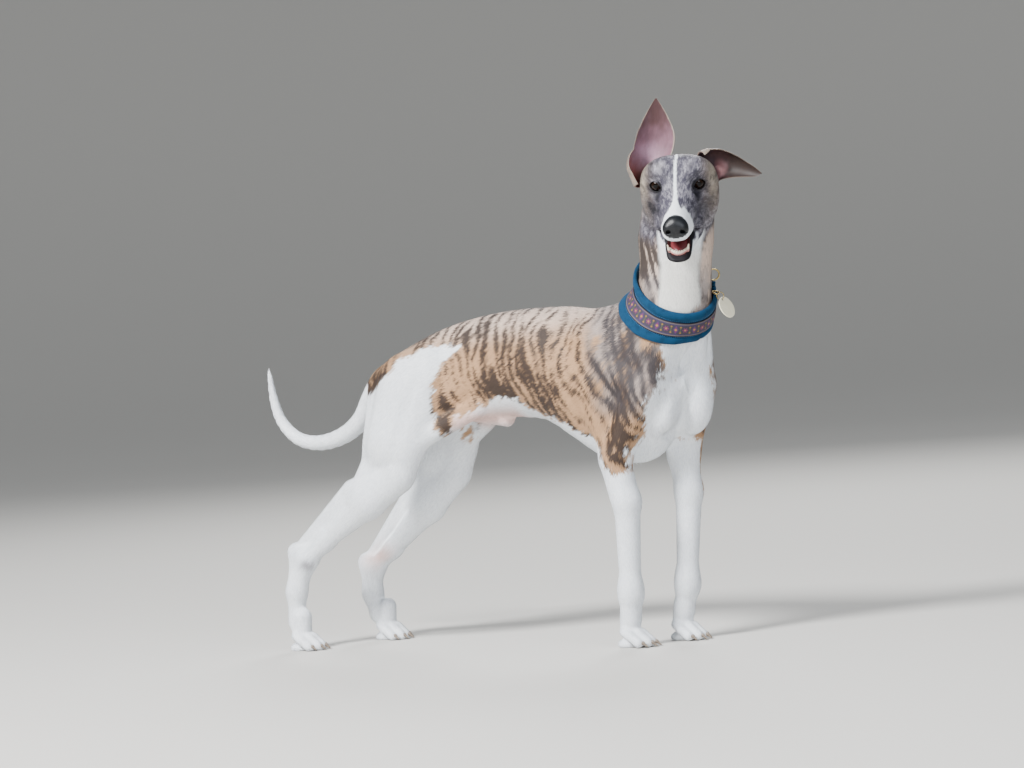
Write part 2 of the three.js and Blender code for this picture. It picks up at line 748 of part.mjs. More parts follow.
// Nose pad with its two nostrils
const nosePlanes = [inHeadFrame(flip(nosePlane))];
const padLoft = (level) =>
  loft({
    stations: [
      [v(76, 0, -22), v(1, 0, 0.2)],
      [v(88, 0, -23), v(1, 0, 0.15)],
      [v(100, 0, -24), v(1, 0, 0.1)],
    ],
    rings: 8,
    rays: 16,
    field: nosePad,
    level,
  });
const nostrils = pair((s) => {
  const pit = new THREE.SphereGeometry(1, 8, 6);
  pit.scale(9, 3.2, 3.4);
  pit.rotateZ(s * degrees(14));
  pit.translate(101, s * 9.6, -23);
  const slit = new THREE.SphereGeometry(1, 6, 4);
  slit.scale(8, 1.5, 2.2);
  slit.rotateZ(s * degrees(36));
  slit.translate(98, s * 15.5, -26);
  return solidFrom(pit).add(solidFrom(slit));
});
const nose = nostrils.reduce((left, pit) => left.subtract(pit), trim(padLoft(0), nosePlanes));
addNode("nose", placeHead(nose), noseSkin);

const headCutters = [jawBlock, mouthHollow, padLoft(gap), ...lidCutters];
const head = headCutters.reduce((left, cutter) => left.subtract(cutter), trim(headLoft(0), headPlanes));
addNode("head", placeHead(head), faceCoat);

for (const s of [-1, 1]) addNode(s < 0 ? "eye_right" : "eye_left", placeHead(eyeBall(s, eyeRadius)), eyeGloss);

// Lower jaw, tongue and the lower teeth that show
const jawLoft = (level) =>
  loft({
    stations: [
      [v(30, 0, -64), v(1, 0, -0.15)],
      [v(50, 0, -69), v(1, 0, -0.15)],
      [v(66, 0, -73), v(1, 0, -0.1)],
      [v(76, 0, -75.5), v(1, 0, 0)],
      [v(85, 0, -76.5), v(1, 0, 0)],
    ],
    rings: 12,
    rays: 20,
    field: clipped(bodyInHead, jawPlanes),
    level,
  });
const jaw = trim(jawLoft(0), jawPlanes).subtract(mouthHollow);
addNode("lower_jaw", placeHead(jaw), faceCoat);
const neck = trim(neckLoft(0), neckPlanes).subtract(placeHead(jawLoft(gap)));
addNode("neck", neck, whiteCoat);

// Forelegs: upper arm, forearm and pastern
const upright = v(0, 0, -1);
for (const [key, leg] of Object.entries(legs)) {
  if (!key.startsWith("fore")) continue;
  const s = leg.sign;
  const name = s < 0 ? "right" : "left";
  const middleY = s * 50;
  const armPlanes = [armTop, armBack, armSide(s), elbowPlane];
  const arm = loft({
    stations: [
      [v(leg.elbow.x + 6, middleY, 402), upright],
      [v(leg.elbow.x + 14, middleY, 365), upright],
      [v(leg.elbow.x + 8, s * 52, 320), upright],
      [v(leg.elbow.x + 2, leg.elbow.y, 284), upright],
      [v(leg.elbow.x + 2, leg.elbow.y, 242), upright],
    ],
    rings: 10,
    rays: 18,
    field: clipped(bodyField, armPlanes),
  });
  addNode("upper_arm_" + name, trim(arm, armPlanes), brindleCoat);
  const forearmPlanes = [flip(elbowPlane), wristPlane];
  const forearm = loft({
    stations: [
      [v(leg.elbow.x + 2, leg.elbow.y, 262), upright],
      [leg.forearm, upright],
      [v((leg.forearm.x + leg.wrist.x) / 2, (leg.forearm.y + leg.wrist.y) / 2, 150), upright],
      [v(leg.wrist.x, leg.wrist.y, 88), upright],
    ],
    rings: 8,
    rays: 14,
    field: clipped(bodyField, forearmPlanes),
  });
  addNode("forearm_" + name, trim(forearm, forearmPlanes), whiteCoat);
  const pasternPlanes = [flip(wristPlane), anklePlane];
  const pastern = loft({
    stations: [
      [v(leg.wrist.x, leg.wrist.y, 104), upright],
      [v(leg.wrist.x, leg.wrist.y, 74), upright],
      [leg.pastern, upright],
      [v(leg.paw.x + 2, leg.paw.y, 28), upright],
    ],
    rings: 6,
    rays: 14,
    field: clipped(bodyField, pasternPlanes),
  });
  addNode("pastern_" + name, trim(pastern, pasternPlanes), whiteCoat);
}

// Hind legs: haunch, lower thigh and shank
const haunchCutters = [];
for (const [key, leg] of Object.entries(legs)) {
  if (!key.startsWith("hind")) continue;
  const s = leg.sign;
  const name = s < 0 ? "right" : "left";
  const knee = kneePlane(leg);
  const hock = hockPlane(leg);
  const haunchPlanes = [flip(haunchPlane), midline(s), knee];
  const haunchLoft = (level) =>
    loft({
      stations: [
        [v(-362, s * 34, 402), v(-83, 0, -208)],
        [v(-374, s * 42, 366), v(-0.4, 0, -0.92)],
        [v(-388, s * 50, 324), v(-0.5, 0, -0.86)],
        [v(leg.knee.x - 12, leg.knee.y, leg.knee.z + 22), v(-0.65, 0, -0.75)],
        [v(leg.knee.x - 34, leg.knee.y, leg.knee.z - 16), v(-0.8, 0, -0.6)],
      ],
      rings: 12,
      rays: 21,
      field: clipped(bodyField, haunchPlanes),
      level,
    });
  haunchCutters.push(haunchLoft(gap));
  addNode("haunch_" + name, trim(haunchLoft(0), haunchPlanes), whiteCoat);
  const gaskinPlanes = [flip(knee), hock];
  const shin = v(-0.82, 0, -0.57);
  const halfway = leg.calf.clone().lerp(leg.hock, 0.5).add(v(0, 0, 4));
  const gaskin = loft({
    stations: [
      [v(leg.knee.x - 20, leg.knee.y, leg.knee.z - 6), v(-0.8, 0, -0.6)],
      [leg.calf, shin],
      [halfway, shin],
      [v(leg.hock.x + 18, leg.hock.y, leg.hock.z + 14), shin],
    ],
    rings: 9,
    rays: 16,
    field: clipped(bodyField, gaskinPlanes),
  });
  addNode("lower_thigh_" + name, trim(gaskin, gaskinPlanes), whiteCoat);
  const shankDirection = leg.pastern.clone().sub(leg.heel).setY(0).normalize();
  const shankPlanes = [flip(hock), anklePlane];
  const shank = loft({
    stations: [
      [v(leg.hock.x + 26, leg.hock.y, leg.hock.z + 18), v(-0.84, 0, -0.54)],
      [v(leg.hock.x - 6, leg.hock.y, leg.hock.z + 2), v(-0.6, 0, -0.8)],
      [leg.shank, shankDirection],
      [leg.pastern, v(0, 0, -1)],
      [v(leg.paw.x + 1, leg.paw.y, 27), v(0, 0, -1)],
    ],
    rings: 9,
    rays: 14,
    field: clipped(bodyField, shankPlanes),
  });
  addNode("shank_" + name, trim(shank, shankPlanes), whiteCoat);
}

// Paws with their toes, each toe ending in a claw
const pawRays = 22;
const crowdForward = (t) => {
  const turn = t * 2 - 1;
  return Math.PI * (turn * 0.62 + turn ** 3 * 0.38) - Math.PI / 2;
};
for (const [key, leg] of Object.entries(legs)) {
  const name = key.replace(/[A-Z]/, (capital) => "_" + capital.toLowerCase());
  const pawPlanes = [flip(anklePlane)];
  const pawLoft = (level) =>
    loft({
      stations: [
        [v(leg.paw.x + 1, leg.paw.y, 46), upright],
        [v(leg.paw.x + 3, leg.paw.y, 28), upright],
        [v(leg.paw.x + 7, leg.paw.y, 14), upright],
        [v(leg.paw.x + 8, leg.paw.y, 6), upright],
        [v(leg.paw.x + 6, leg.paw.y, 0.2), upright],
      ],
      rings: 7,
      rays: pawRays,
      field: clipped(bodyField, pawPlanes),
      level,
      angleOf: crowdForward,
    });
  const floorPlane = plane(v(0, 0, -1), v(0, 0, -gap / 2));
  addNode("paw_" + name, trim(pawLoft(0), [...pawPlanes, floorPlane]), whiteCoat);
  const cutter = pawLoft(gap);
  toes.forEach((toe, i) => {
    const place = (p) => p.clone().applyAxisAngle(v(0, 0, 1), degrees(leg.turn)).add(leg.paw);
    const bend = v((toe.tip.x * 0.45 + toe.claw.x * 0.55), toe.tip.y * 0.5 + toe.claw.y * 0.5, 7.4);
    const horn = taperedTube([toe.tip, bend, toe.claw].map(place), [3, 2.5, 0.8], 3, 5);
    addNode("claw_" + name + "_" + (i + 1), horn.subtract(cutter), clawHorn);
  });
}

// Tail, in three lengths
const tailPoints = [
  v(-446, 0, 420),
  v(-466, 0, 410),
  v(-488, 0, 384),
  v(-508, -2, 354),
  v(-542, -4, 331),
  v(-589, -6, 320),
  v(-633, -7, 328),
  v(-664, -8, 357),
  v(-677, -8, 394),
  v(-682, -8, 434),
];
const tailRadii = [20, 18.5, 16.5, 15, 13.5, 12, 10.4, 8.6, 6.6, 3];
const tailCurve = new THREE.CatmullRomCurve3(tailPoints);
const wholeTail = taperedTube(tailPoints, tailRadii, 26, 10);
const tailCuts = [3, 6].map((i) => {
  const t = i / (tailPoints.length - 1);
  return plane(tailCurve.getTangent(t), tailCurve.getPoint(t));
});
const tailRoot = [trunkLoft(gap), ...haunchCutters].reduce((left, body) => left.subtract(body), wholeTail);
addNode("tail_root", trim(tailRoot, [tailCuts[0]]), whiteCoat);
addNode("tail_middle", trim(wholeTail, [flip(tailCuts[0]), tailCuts[1]]), whiteCoat);
addNode("tail_tip", trim(wholeTail, [flip(tailCuts[1])]), whiteCoat);

// Ears in an upright frame at the head's origin: x out of the face, y to the dog's left, z up
const earMatrix = new THREE.Matrix4()
  .makeTranslation(headOrigin.x, headOrigin.y, headOrigin.z)
  .multiply(new THREE.Matrix4().makeRotationZ(headYaw + degrees(5)))
  .multiply(new THREE.Matrix4().makeRotationX(earTilt));

// Stations: centre of the back of the cup, radius of the cup and half its opening angle in degrees
function earShell(stations, opening) {
  const rows = 10;
  const columns = 9;
  const path = new THREE.CatmullRomCurve3(stations.map((s) => s[0]));
  const radii = stations.map((s, i) => [i / (stations.length - 1), s[1], s[2]]);
  const positions = [];
  const indices = [];
  for (const skin of [0, 1]) {
    for (let i = 0; i < rows; i += 1) {
      const t = i / (rows - 1);
      const centre = path.getPoint(t);
      const forward = path.getTangent(t);
      const out = opening.clone().addScaledVector(forward, -opening.dot(forward)).normalize();
      const across = new THREE.Vector3().crossVectors(forward, out);
      const radius = between(radii, 1, t);
      const half = degrees(between(radii, 2, t));
      for (let j = 0; j < columns; j += 1) {
        const turn = (j / (columns - 1)) * 2 - 1;
        const angle = turn * half;
        const rim = 1 - 0.6 * Math.abs(turn) ** 6;
        const wall = radius + (skin ? earThickness * rim * (1 - 0.45 * t) : 0);
        const p = centre
          .clone()
          .addScaledVector(out, radius - wall * Math.cos(angle))
          .addScaledVector(across, wall * Math.sin(angle));
        positions.push(...p.toArray());
      }
    }
  }
  const at = (skin, i, j) => (skin * rows + i) * columns + j;
  const face = (a, b, c, d) => indices.push(a, b, c, a, c, d);
  for (let i = 0; i < rows - 1; i += 1) {
    for (let j = 0; j < columns - 1; j += 1) {
      face(at(0, i, j), at(0, i, j + 1), at(0, i + 1, j + 1), at(0, i + 1, j));
      face(at(1, i, j), at(1, i + 1, j), at(1, i + 1, j + 1), at(1, i, j + 1));
    }
    face(at(0, i, 0), at(0, i + 1, 0), at(1, i + 1, 0), at(1, i, 0));
    face(at(0, i, columns - 1), at(1, i, columns - 1), at(1, i + 1, columns - 1), at(0, i + 1, columns - 1));
  }
  for (let j = 0; j < columns - 1; j += 1) {
    face(at(0, 0, j), at(1, 0, j), at(1, 0, j + 1), at(0, 0, j + 1));
    face(at(0, rows - 1, j), at(0, rows - 1, j + 1), at(1, rows - 1, j + 1), at(1, rows - 1, j));
  }
  const geometry = new THREE.BufferGeometry();
  geometry.setAttribute("position", new THREE.Float32BufferAttribute(positions, 3));
  geometry.setIndex(indices);
  return solidFrom(geometry).transform(earMatrix.elements);
}

const rightEar = [
  [v(-60, -42, 2), 19, 122],
  [v(-63, -46, 18), 23, 114],
  [v(-65, -47, 31), 26.5, 100],
  [v(-66, -40, 45), 26, 84],
  [v(-64, -34, 62), 33, 60],
  [v(-60, -31.5, 80), 38, 46],
  [v(-56, -31, 98), 38, 31],
  [v(-53, -31, 115), 38, 15],
  [v(-50, -31, 128), 38, 2],
];
const leftEar = [
  [v(-60, 31, 26), 24, 122],
  [v(-66, 47, 31), 25.5, 100],
  [v(-64, 64, 33), 24, 80],
  [v(-58, 82, 30), 20, 62],
  [v(-52, 99, 25), 16, 46],
  [v(-46, 112, 21), 12, 34],
  [v(-42, 121, 19), 8, 8],
];
const headCutter = placeHead(headLoft(gap));
const earNodes = [
  ["ear_right", rightEar, v(1, 0.05, 0.05)],
  ["ear_left", leftEar, v(1, 0, -0.1)],
];
for (const [name, stations, opening] of earNodes) {
  const shell = earShell(stations, opening.normalize());
  addNode(name, shell.subtract(headCutter).subtract(neckLoft(gap)), earSkin);
}

// Tongue, resting on the floor of the mouth
const jawCutter = jawLoft(gap).subtract(mouthHollow);
function tongueShape(room) {
  const shape = new THREE.SphereGeometry(1, 12, 8);
  shape.scale(24 + room, 12.5 + room, 5.5 + room);
  shape.rotateY(degrees(7));
  shape.translate(49.5, 0, -65.5);
  return solidFrom(shape);
}
const tongue = tongueShape(0).subtract(jawCutter);
addNode("tongue", placeHead(tongue), tongueSkin);

// Collar: a padded band round the base of the neck, following it, with a woven ribbon on its outside
const flareRoom = 2;
function bandReach(angle, height) {
  const across = v(0, 1, 0).addScaledVector(collarNormal, -collarNormal.y).normalize();
  const forward = new THREE.Vector3().crossVectors(across, collarNormal);
  const direction = forward.multiplyScalar(Math.cos(angle)).addScaledVector(across, Math.sin(angle));
  const centre = collarMiddle.clone().addScaledVector(collarNormal, height);
  const bodyRadius = reach(bodyField, centre, direction, 0);
  const neckRadius = reach(neckField, centre, direction, 0);
  const radius = Math.min(bodyRadius, neckRadius + flareRoom);
  return { direction, centre, radius };
}

function collarRing(profile, sides) {
  const positions = [];
  const indices = [];
  const count = profile.length;
  for (let i = 0; i < sides; i += 1) {
    const angle = (i / sides) * Math.PI * 2;
    const [bottom, waist, top] = [-collarWidth / 2, 0, collarWidth / 2].map((h) => bandReach(angle, h).radius);
    for (const [height, lift] of profile) {
      const t = height / collarWidth + 0.5;
      const skin = (1 - t) * (1 - 2 * t) * bottom + 4 * t * (1 - t) * waist + t * (2 * t - 1) * top;
      const { direction, centre } = bandReach(angle, height);
      const p = centre.addScaledVector(direction, skin + lift);
      positions.push(...p.toArray());
    }
  }
  for (let i = 0; i < sides; i += 1) {
    const next = (i + 1) % sides;
    for (let j = 0; j < count; j += 1) {
      const k = (j + 1) % count;
      const corners = [i * count + j, next * count + j, next * count + k, i * count + k];
      indices.push(corners[0], corners[1], corners[2], corners[0], corners[2], corners[3]);
    }
  }
  const geometry = new THREE.BufferGeometry();
  geometry.setAttribute("position", new THREE.Float32BufferAttribute(positions, 3));
  geometry.setIndex(indices);
  return solidFrom(geometry);
}

const halfBand = collarWidth / 2;
const roll = 4;
const bandLift = 2.2;
const bandProfile = [
  [-halfBand, bandLift],
  [-halfBand - 1, bandLift + roll * 0.6],
  [-halfBand + 2, bandLift + roll + collarPadding * 0.5],
  [-ribbonWidth / 2, bandLift + collarPadding * 0.7],
  [ribbonWidth / 2, bandLift + collarPadding * 0.7],
  [halfBand - 2, bandLift + roll + collarPadding * 0.5],
  [halfBand + 1, bandLift + roll * 0.6],
  [halfBand, bandLift],
];
const collarSides = 28;
const bandGeometry = collarRing(bandProfile, collarSides);
const collarCutters = [trunkLoft(gap), neckLoft(gap)];

// A short tab on the collar's upper rim, at the left of the neck, holds up a larger ring
const sideAngle = degrees(69);
const sideRing = { radius: 8, wire: 1.3, rise: 18.5, out: 3.5 };
const sideCentre = onBand(sideAngle, collarWidth / 2 + sideRing.rise, sideRing.out);
const sideAxis = v(-0.57, 0.82, 0.1);
const tabRadii = [3.6, 3.2, 2.2];
const tabDrop = sideRing.radius + sideRing.wire + gap + tabRadii[2];
const tabTop = sideCentre.clone().addScaledVector(v(0, 0, -1), tabDrop);
const tabFoot = onBand(sideAngle, collarWidth / 2 - 4, bandLift + 2);
const tab = taperedTube([tabFoot, tabFoot.clone().lerp(tabTop, 0.55), tabTop], tabRadii, 4, 8);
const band = collarCutters.reduce((left, body) => left.subtract(body), bandGeometry.add(tab));
addNode("collar_band", band, blueSuede);
const bandRoom = collarRing(
  bandProfile.map(([height, lift]) => [height * 1.02, lift > bandLift ? lift + gap : lift - 4]),
  collarSides,
);
const ribbonBase = bandLift + collarPadding * 0.7 + gap;
const ribbonProfile = [
  [-ribbonWidth / 2, ribbonBase],
  [-ribbonWidth / 2, ribbonBase + 1],
  [ribbonWidth / 2, ribbonBase + 1],
  [ribbonWidth / 2, ribbonBase],
];
addNode("collar_ribbon", collarRing(ribbonProfile, collarSides), ribbonWeave);

// Six lower incisors between two canines, with the gum that they stand in, in one row along the rim of the jaw
const toothReach = 80;
const toothBow = 0.055;
const toothSpacing = 3.3;
const toothPlaces = pair((s) => ({
  points: [v(70, s * 11.8, -73), v(73, s * 13.4, -64.5), v(74, s * 15, -57)],
  radius: 2.7,
}));
for (let i = 0; i < 6; i += 1) {
  const y = (i - 2.5) * toothSpacing;
  const x = toothReach - toothBow * y * y - 2.5;
  toothPlaces.push({ points: [v(x, y, -71), v(x + 1, y, -64.5)], radius: 1.8 });
}
const gumPoints = [-12.6, -6.5, 0, 6.5, 12.6].map((y) =>
  v(toothReach - toothBow * y * y - 3, y, -69.6 + 0.02 * y * y),
);
const gum = taperedTube(gumPoints, [2.4, 2.6, 2.6, 2.6, 2.4], 5, 4);
const toothShape = ({ points, radius }) => {
  const radii = points.map((p, i) => radius * (1 - 0.3 * i));
  return taperedTube(points, radii, points.length, 4);
};
const teeth = toothPlaces.reduce((row, tooth) => row.add(toothShape(tooth)), gum);
const teethRow = teeth.subtract(jawCutter).subtract(tongueShape(2 * gap));
addNode("lower_teeth", placeHead(teethRow), toothEnamel);

// A wire ring round an axis
function wireRing(centre, axis, radius, wire) {
  const ring = new THREE.TorusGeometry(radius, wire, 5, 14);
  ring.applyQuaternion(new THREE.Quaternion().setFromUnitVectors(v(0, 0, 1), axis.clone().normalize()));
  ring.translate(centre.x, centre.y, centre.z);
  return solidFrom(ring);
}

// A point on the outside of the band, at an angle round the neck and a height across the band
function onBand(angle, height, out) {
  const { direction, centre, radius } = bandReach(angle, height);
  return centre.addScaledVector(direction, radius + out);
}

// The tag swings on a split ring from a small loop at the collar's upper rim
const loopAngle = degrees(40);
const hangs = v(0.371, 0.236, -0.898).normalize();
const tagFacing = v(0.928, -0.079, 0.363).normalize();
const splitRing = { radius: 6, wire: 0.9 };
const loopRing = { radius: 5, wire: 1.1 };
const tagHole = { radius: 2.4, inset: 3.6 };
const loopTop = onBand(loopAngle, collarWidth / 2 + 7, bandLift + collarPadding + 4.5);
const ringClear = splitRing.radius - splitRing.wire - loopRing.wire - gap;
const ringCentre = loopTop.clone().addScaledVector(hangs, ringClear);
const holeCentre = ringCentre.clone().addScaledVector(hangs, splitRing.radius);
const tagCentre = holeCentre.clone().addScaledVector(hangs, tagDiameter / 2 - tagHole.inset);
const ringAxis = new THREE.Vector3().crossVectors(tagFacing, hangs).normalize();
const outward = bandReach(loopAngle, 0).direction;
const loopInward = outward.clone().addScaledVector(ringAxis, -outward.dot(ringAxis)).normalize();
const loopCentre = loopTop.clone().addScaledVector(loopInward, -loopRing.radius);
const loopAxis = new THREE.Vector3().crossVectors(loopInward, ringAxis);
const loop = wireRing(loopCentre, loopAxis, loopRing.radius, loopRing.wire);
addNode("collar_loop", loop.subtract(bandRoom).subtract(neckLoft(gap)), paleMetal);
addNode("tag_ring", wireRing(ringCentre, ringAxis, splitRing.radius, splitRing.wire), paleMetal);

const disc = new THREE.Shape().absarc(0, 0, tagDiameter / 2, 0, Math.PI * 2);
const holeHeight = tagDiameter / 2 - tagHole.inset;
disc.holes.push(new THREE.Path().absarc(0, holeHeight, tagHole.radius, 0, Math.PI * 2, true));
const tagOptions = { depth: tagThickness, bevelEnabled: false, curveSegments: 16 };
const tagPlate = new THREE.ExtrudeGeometry(disc, tagOptions);
tagPlate.translate(0, 0, -tagThickness / 2);
const tagAxes = new THREE.Matrix4().makeBasis(
  new THREE.Vector3().crossVectors(hangs.clone().negate(), tagFacing).normalize(),
  hangs.clone().negate(),
  tagFacing.clone().addScaledVector(hangs, -tagFacing.dot(hangs)).normalize(),
);
tagPlate.applyMatrix4(tagAxes);
tagPlate.translate(tagCentre.x, tagCentre.y, tagCentre.z);
addNode("tag", solidFrom(tagPlate), ivoryMetal);

// The larger ring at the left of the neck
const largeRing = wireRing(sideCentre, sideAxis, sideRing.radius, sideRing.wire);
addNode("collar_ring", largeRing.subtract(neckLoft(gap)), paleMetal);

// The origin lies on the floor under the middle of the whole dog
const box = new THREE.Box3().setFromObject(dog);
const middle = box.getCenter(v(0, 0, 0));
dog.position.set(-middle.x, -middle.y, -box.min.z);

export default dog;
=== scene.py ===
# A whippet standing alert: head turned aside, one ear up and one folded, in a padded collar with a tag
import math
import bpy
import numpy as np
import openvdb
from mathutils import Matrix, Vector


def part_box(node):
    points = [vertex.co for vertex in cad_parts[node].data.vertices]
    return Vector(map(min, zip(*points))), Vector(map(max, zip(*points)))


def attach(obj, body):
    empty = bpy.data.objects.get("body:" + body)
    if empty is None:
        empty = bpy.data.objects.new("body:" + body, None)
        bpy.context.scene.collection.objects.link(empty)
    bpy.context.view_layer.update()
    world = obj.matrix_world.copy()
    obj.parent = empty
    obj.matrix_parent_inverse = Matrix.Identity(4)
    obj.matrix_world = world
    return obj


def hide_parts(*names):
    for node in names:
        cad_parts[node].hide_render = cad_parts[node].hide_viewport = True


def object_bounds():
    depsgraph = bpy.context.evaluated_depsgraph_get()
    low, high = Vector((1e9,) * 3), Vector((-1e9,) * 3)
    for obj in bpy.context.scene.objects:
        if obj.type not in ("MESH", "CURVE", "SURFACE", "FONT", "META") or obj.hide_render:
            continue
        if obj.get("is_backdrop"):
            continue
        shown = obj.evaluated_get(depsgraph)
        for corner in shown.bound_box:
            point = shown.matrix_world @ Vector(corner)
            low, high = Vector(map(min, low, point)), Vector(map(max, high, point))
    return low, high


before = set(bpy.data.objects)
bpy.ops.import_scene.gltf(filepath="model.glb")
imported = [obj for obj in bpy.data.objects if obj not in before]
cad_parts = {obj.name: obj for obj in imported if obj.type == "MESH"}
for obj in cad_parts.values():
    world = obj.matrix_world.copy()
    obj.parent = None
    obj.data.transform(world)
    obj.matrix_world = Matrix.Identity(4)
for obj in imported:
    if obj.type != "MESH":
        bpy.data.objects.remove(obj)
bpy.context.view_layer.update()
scene = bpy.context.scene
rng = np.random.default_rng(41)
mm = 0.001  # Blender works in metres


def point(x, y, z):
    return np.array([x, y, z], float)


# The dog is drawn in millimetres round its own build point. The two eyes in the frame say where that lies.
head = {"origin": point(152, -83.5, 666.4), "yaw": -63, "pitch": 27, "roll": -1.5}
eyes = {
    "radius": 10.5, "spacing": 57, "back": -9.5, "turn": 25, "lid": 2.4,
    "openWidth": 17.5, "openHeight": 12.5,
    "pupil": "#010101", "iris": "#0c0604", "fibre": "#24140a", "rim": "#040303", "white": "#2c211e",
}
headTurn = (
    Matrix.Rotation(math.radians(head["yaw"]), 3, "Z")
    @ Matrix.Rotation(math.radians(head["pitch"]), 3, "Y")
    @ Matrix.Rotation(math.radians(head["roll"]), 3, "X")
)
headAxes = np.array(headTurn)


def fromHead(p):
    return np.asarray(p, float) @ headAxes.T + head["origin"]


def toHead(p):
    return (np.asarray(p, float) - head["origin"]) @ headAxes


def eyeCentre(side):
    return point(eyes["back"], side * eyes["spacing"] / 2, 0)


def boxMiddle(node):
    low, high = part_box(node)
    return np.array((low + high) / 2)


eyesInFrame = (boxMiddle("eye_right") + boxMiddle("eye_left")) / 2 * 1000
buildShift = eyesInFrame - fromHead((eyeCentre(-1) + eyeCentre(1)) / 2)


def toFrame(p):
    return (np.asarray(p, float) + buildShift) * mm


def headToFrame(q):
    return toFrame(fromHead(q))


print("frame loaded, build point at", [round(float(v), 2) for v in buildShift])


# Distance fields in millimetres, negative inside the flesh
def smoothMin(a, b, k):
    h = np.maximum(k - np.abs(a - b), 0) / k
    return np.minimum(a, b) - h * h * k * 0.25


def smoothMax(a, b, k):
    return -smoothMin(-a, -b, k)


def bar(a, ra, b, rb, squeeze=1.0):
    a = np.asarray(a, float)
    along = np.asarray(b, float) - a
    length2 = float(along @ along)
    soften = 1 / math.sqrt(squeeze)

    def field(p):
        q = p - a
        t = np.clip(q @ along / length2, 0, 1)
        d = q - t[:, None] * along
        d[:, 1] *= squeeze
        return (np.sqrt((d * d).sum(1)) - ra - t * (rb - ra)) * soften

    return field


def egg(centre, rx, ry, rz):
    centre = np.asarray(centre, float)
    radii = np.array([rx, ry, rz], float)

    def field(p):
        a = (p - centre) / radii
        k0 = np.sqrt((a * a).sum(1))
        k1 = np.maximum(np.sqrt(((a / radii) ** 2).sum(1)), 1e-6)
        return k0 * (k0 - 1) / k1

    return field


def blend(fields, k):
    def field(p):
        d = fields[0](p)
        for f in fields[1:]:
            d = smoothMin(d, f(p), k)
        return d

    return field


def chain(links, squeeze=1.0, k=8):
    return blend([bar(a, ra, b, rb, squeeze) for (a, ra), (b, rb) in zip(links, links[1:])], k)


def between(table, x):
    # smooth rows of a table between its stations of increasing x
    t = np.asarray(table, float)
    xs = t[:, 0]
    slopes = np.empty_like(t)
    slopes[1:-1] = (t[2:] - t[:-2]) / (xs[2:] - xs[:-2])[:, None]
    slopes[0] = (t[1] - t[0]) / (xs[1] - xs[0])
    slopes[-1] = (t[-1] - t[-2]) / (xs[-1] - xs[-2])
    slopes[0] *= 0.5
    slopes[-1] *= 0.5
    i = np.clip(np.searchsorted(xs, x, "right") - 1, 0, len(xs) - 2)
    span = (xs[i + 1] - xs[i])[:, None]
    s = np.clip((x - xs[i])[:, None] / span, 0, 1)
    s2, s3 = s * s, s * s * s
    return (
        (2 * s3 - 3 * s2 + 1) * t[i]
        + (s3 - 2 * s2 + s) * span * slopes[i]
        + (3 * s2 - 2 * s3) * t[i + 1]
        + (s3 - s2) * span * slopes[i + 1]
    )


def sections(table, upperPower, lowerPower):
    # flesh given by sections across X: x, top, bottom, half width and the share of the height at its widest
    start, end = table[0][0], table[-1][0]

    def field(p):
        at = np.clip(p[:, 0], start, end)
        row = between(table, at)
        top, bottom = row[:, 1], row[:, 2]
        half = np.maximum(row[:, 3], 1)
        middle = bottom + (top - bottom) * row[:, 4]
        above = p[:, 2] > middle
        height = np.where(above, top - middle, middle - bottom)
        power = np.where(above, upperPower, lowerPower)
        size = (np.abs(p[:, 1] / half) ** power + np.abs((p[:, 2] - middle) / height) ** power) ** (1 / power)
        section = (size - 1) * np.minimum(half, height) * 0.9
        beyond = np.abs(p[:, 0] - at)
        return np.where(beyond > 0, np.maximum(section, 0) + beyond, section)

    return field


def ballField(centre, radius):
    return lambda p: np.sqrt(((p - centre) ** 2).sum(1)) - radius


def planeSide(normal, at):
    n = np.asarray(normal, float)
    n = n / np.linalg.norm(n)
    return lambda p: (p - at) @ n


def into(d, mask, field, p, k):
    # joins a field to d only where the mask says that it can matter
    rows = np.nonzero(mask)[0]
    if rows.size:
        d[rows] = smoothMin(d[rows], field(p[rows]), k)


trunk = sections(
    [
        [-480, 412, 400, 6, 0.53], [-466, 427, 384, 24, 0.53], [-440, 444, 370, 36, 0.53],
        [-400, 463, 360, 46, 0.53], [-350, 482, 354, 50, 0.53], [-300, 495, 350, 50, 0.53],
        [-250, 503, 346, 54, 0.53], [-200, 507, 343, 62, 0.53], [-150, 508, 335, 69, 0.53],
        [-100, 506, 305, 71, 0.53], [-60, 501, 279, 68, 0.53], [-20, 499, 268, 64, 0.53],
        [20, 488, 269, 57, 0.53], [50, 466, 288, 47, 0.53], [75, 430, 332, 32, 0.53],
        [92, 398, 372, 8, 0.53],
    ],
    2,
    1.9,
)
neckLinks = [
    ((-15, 0, 425), 66), ((42, -2, 455), 58), ((84, -8, 498), 52), ((92, -10, 540), 49.5),
    ((96, -8, 592), 52), ((102, -6, 630), 49), ((107, -3, 660), 38),
]
neck = chain(neckLinks, 1.04, 16)

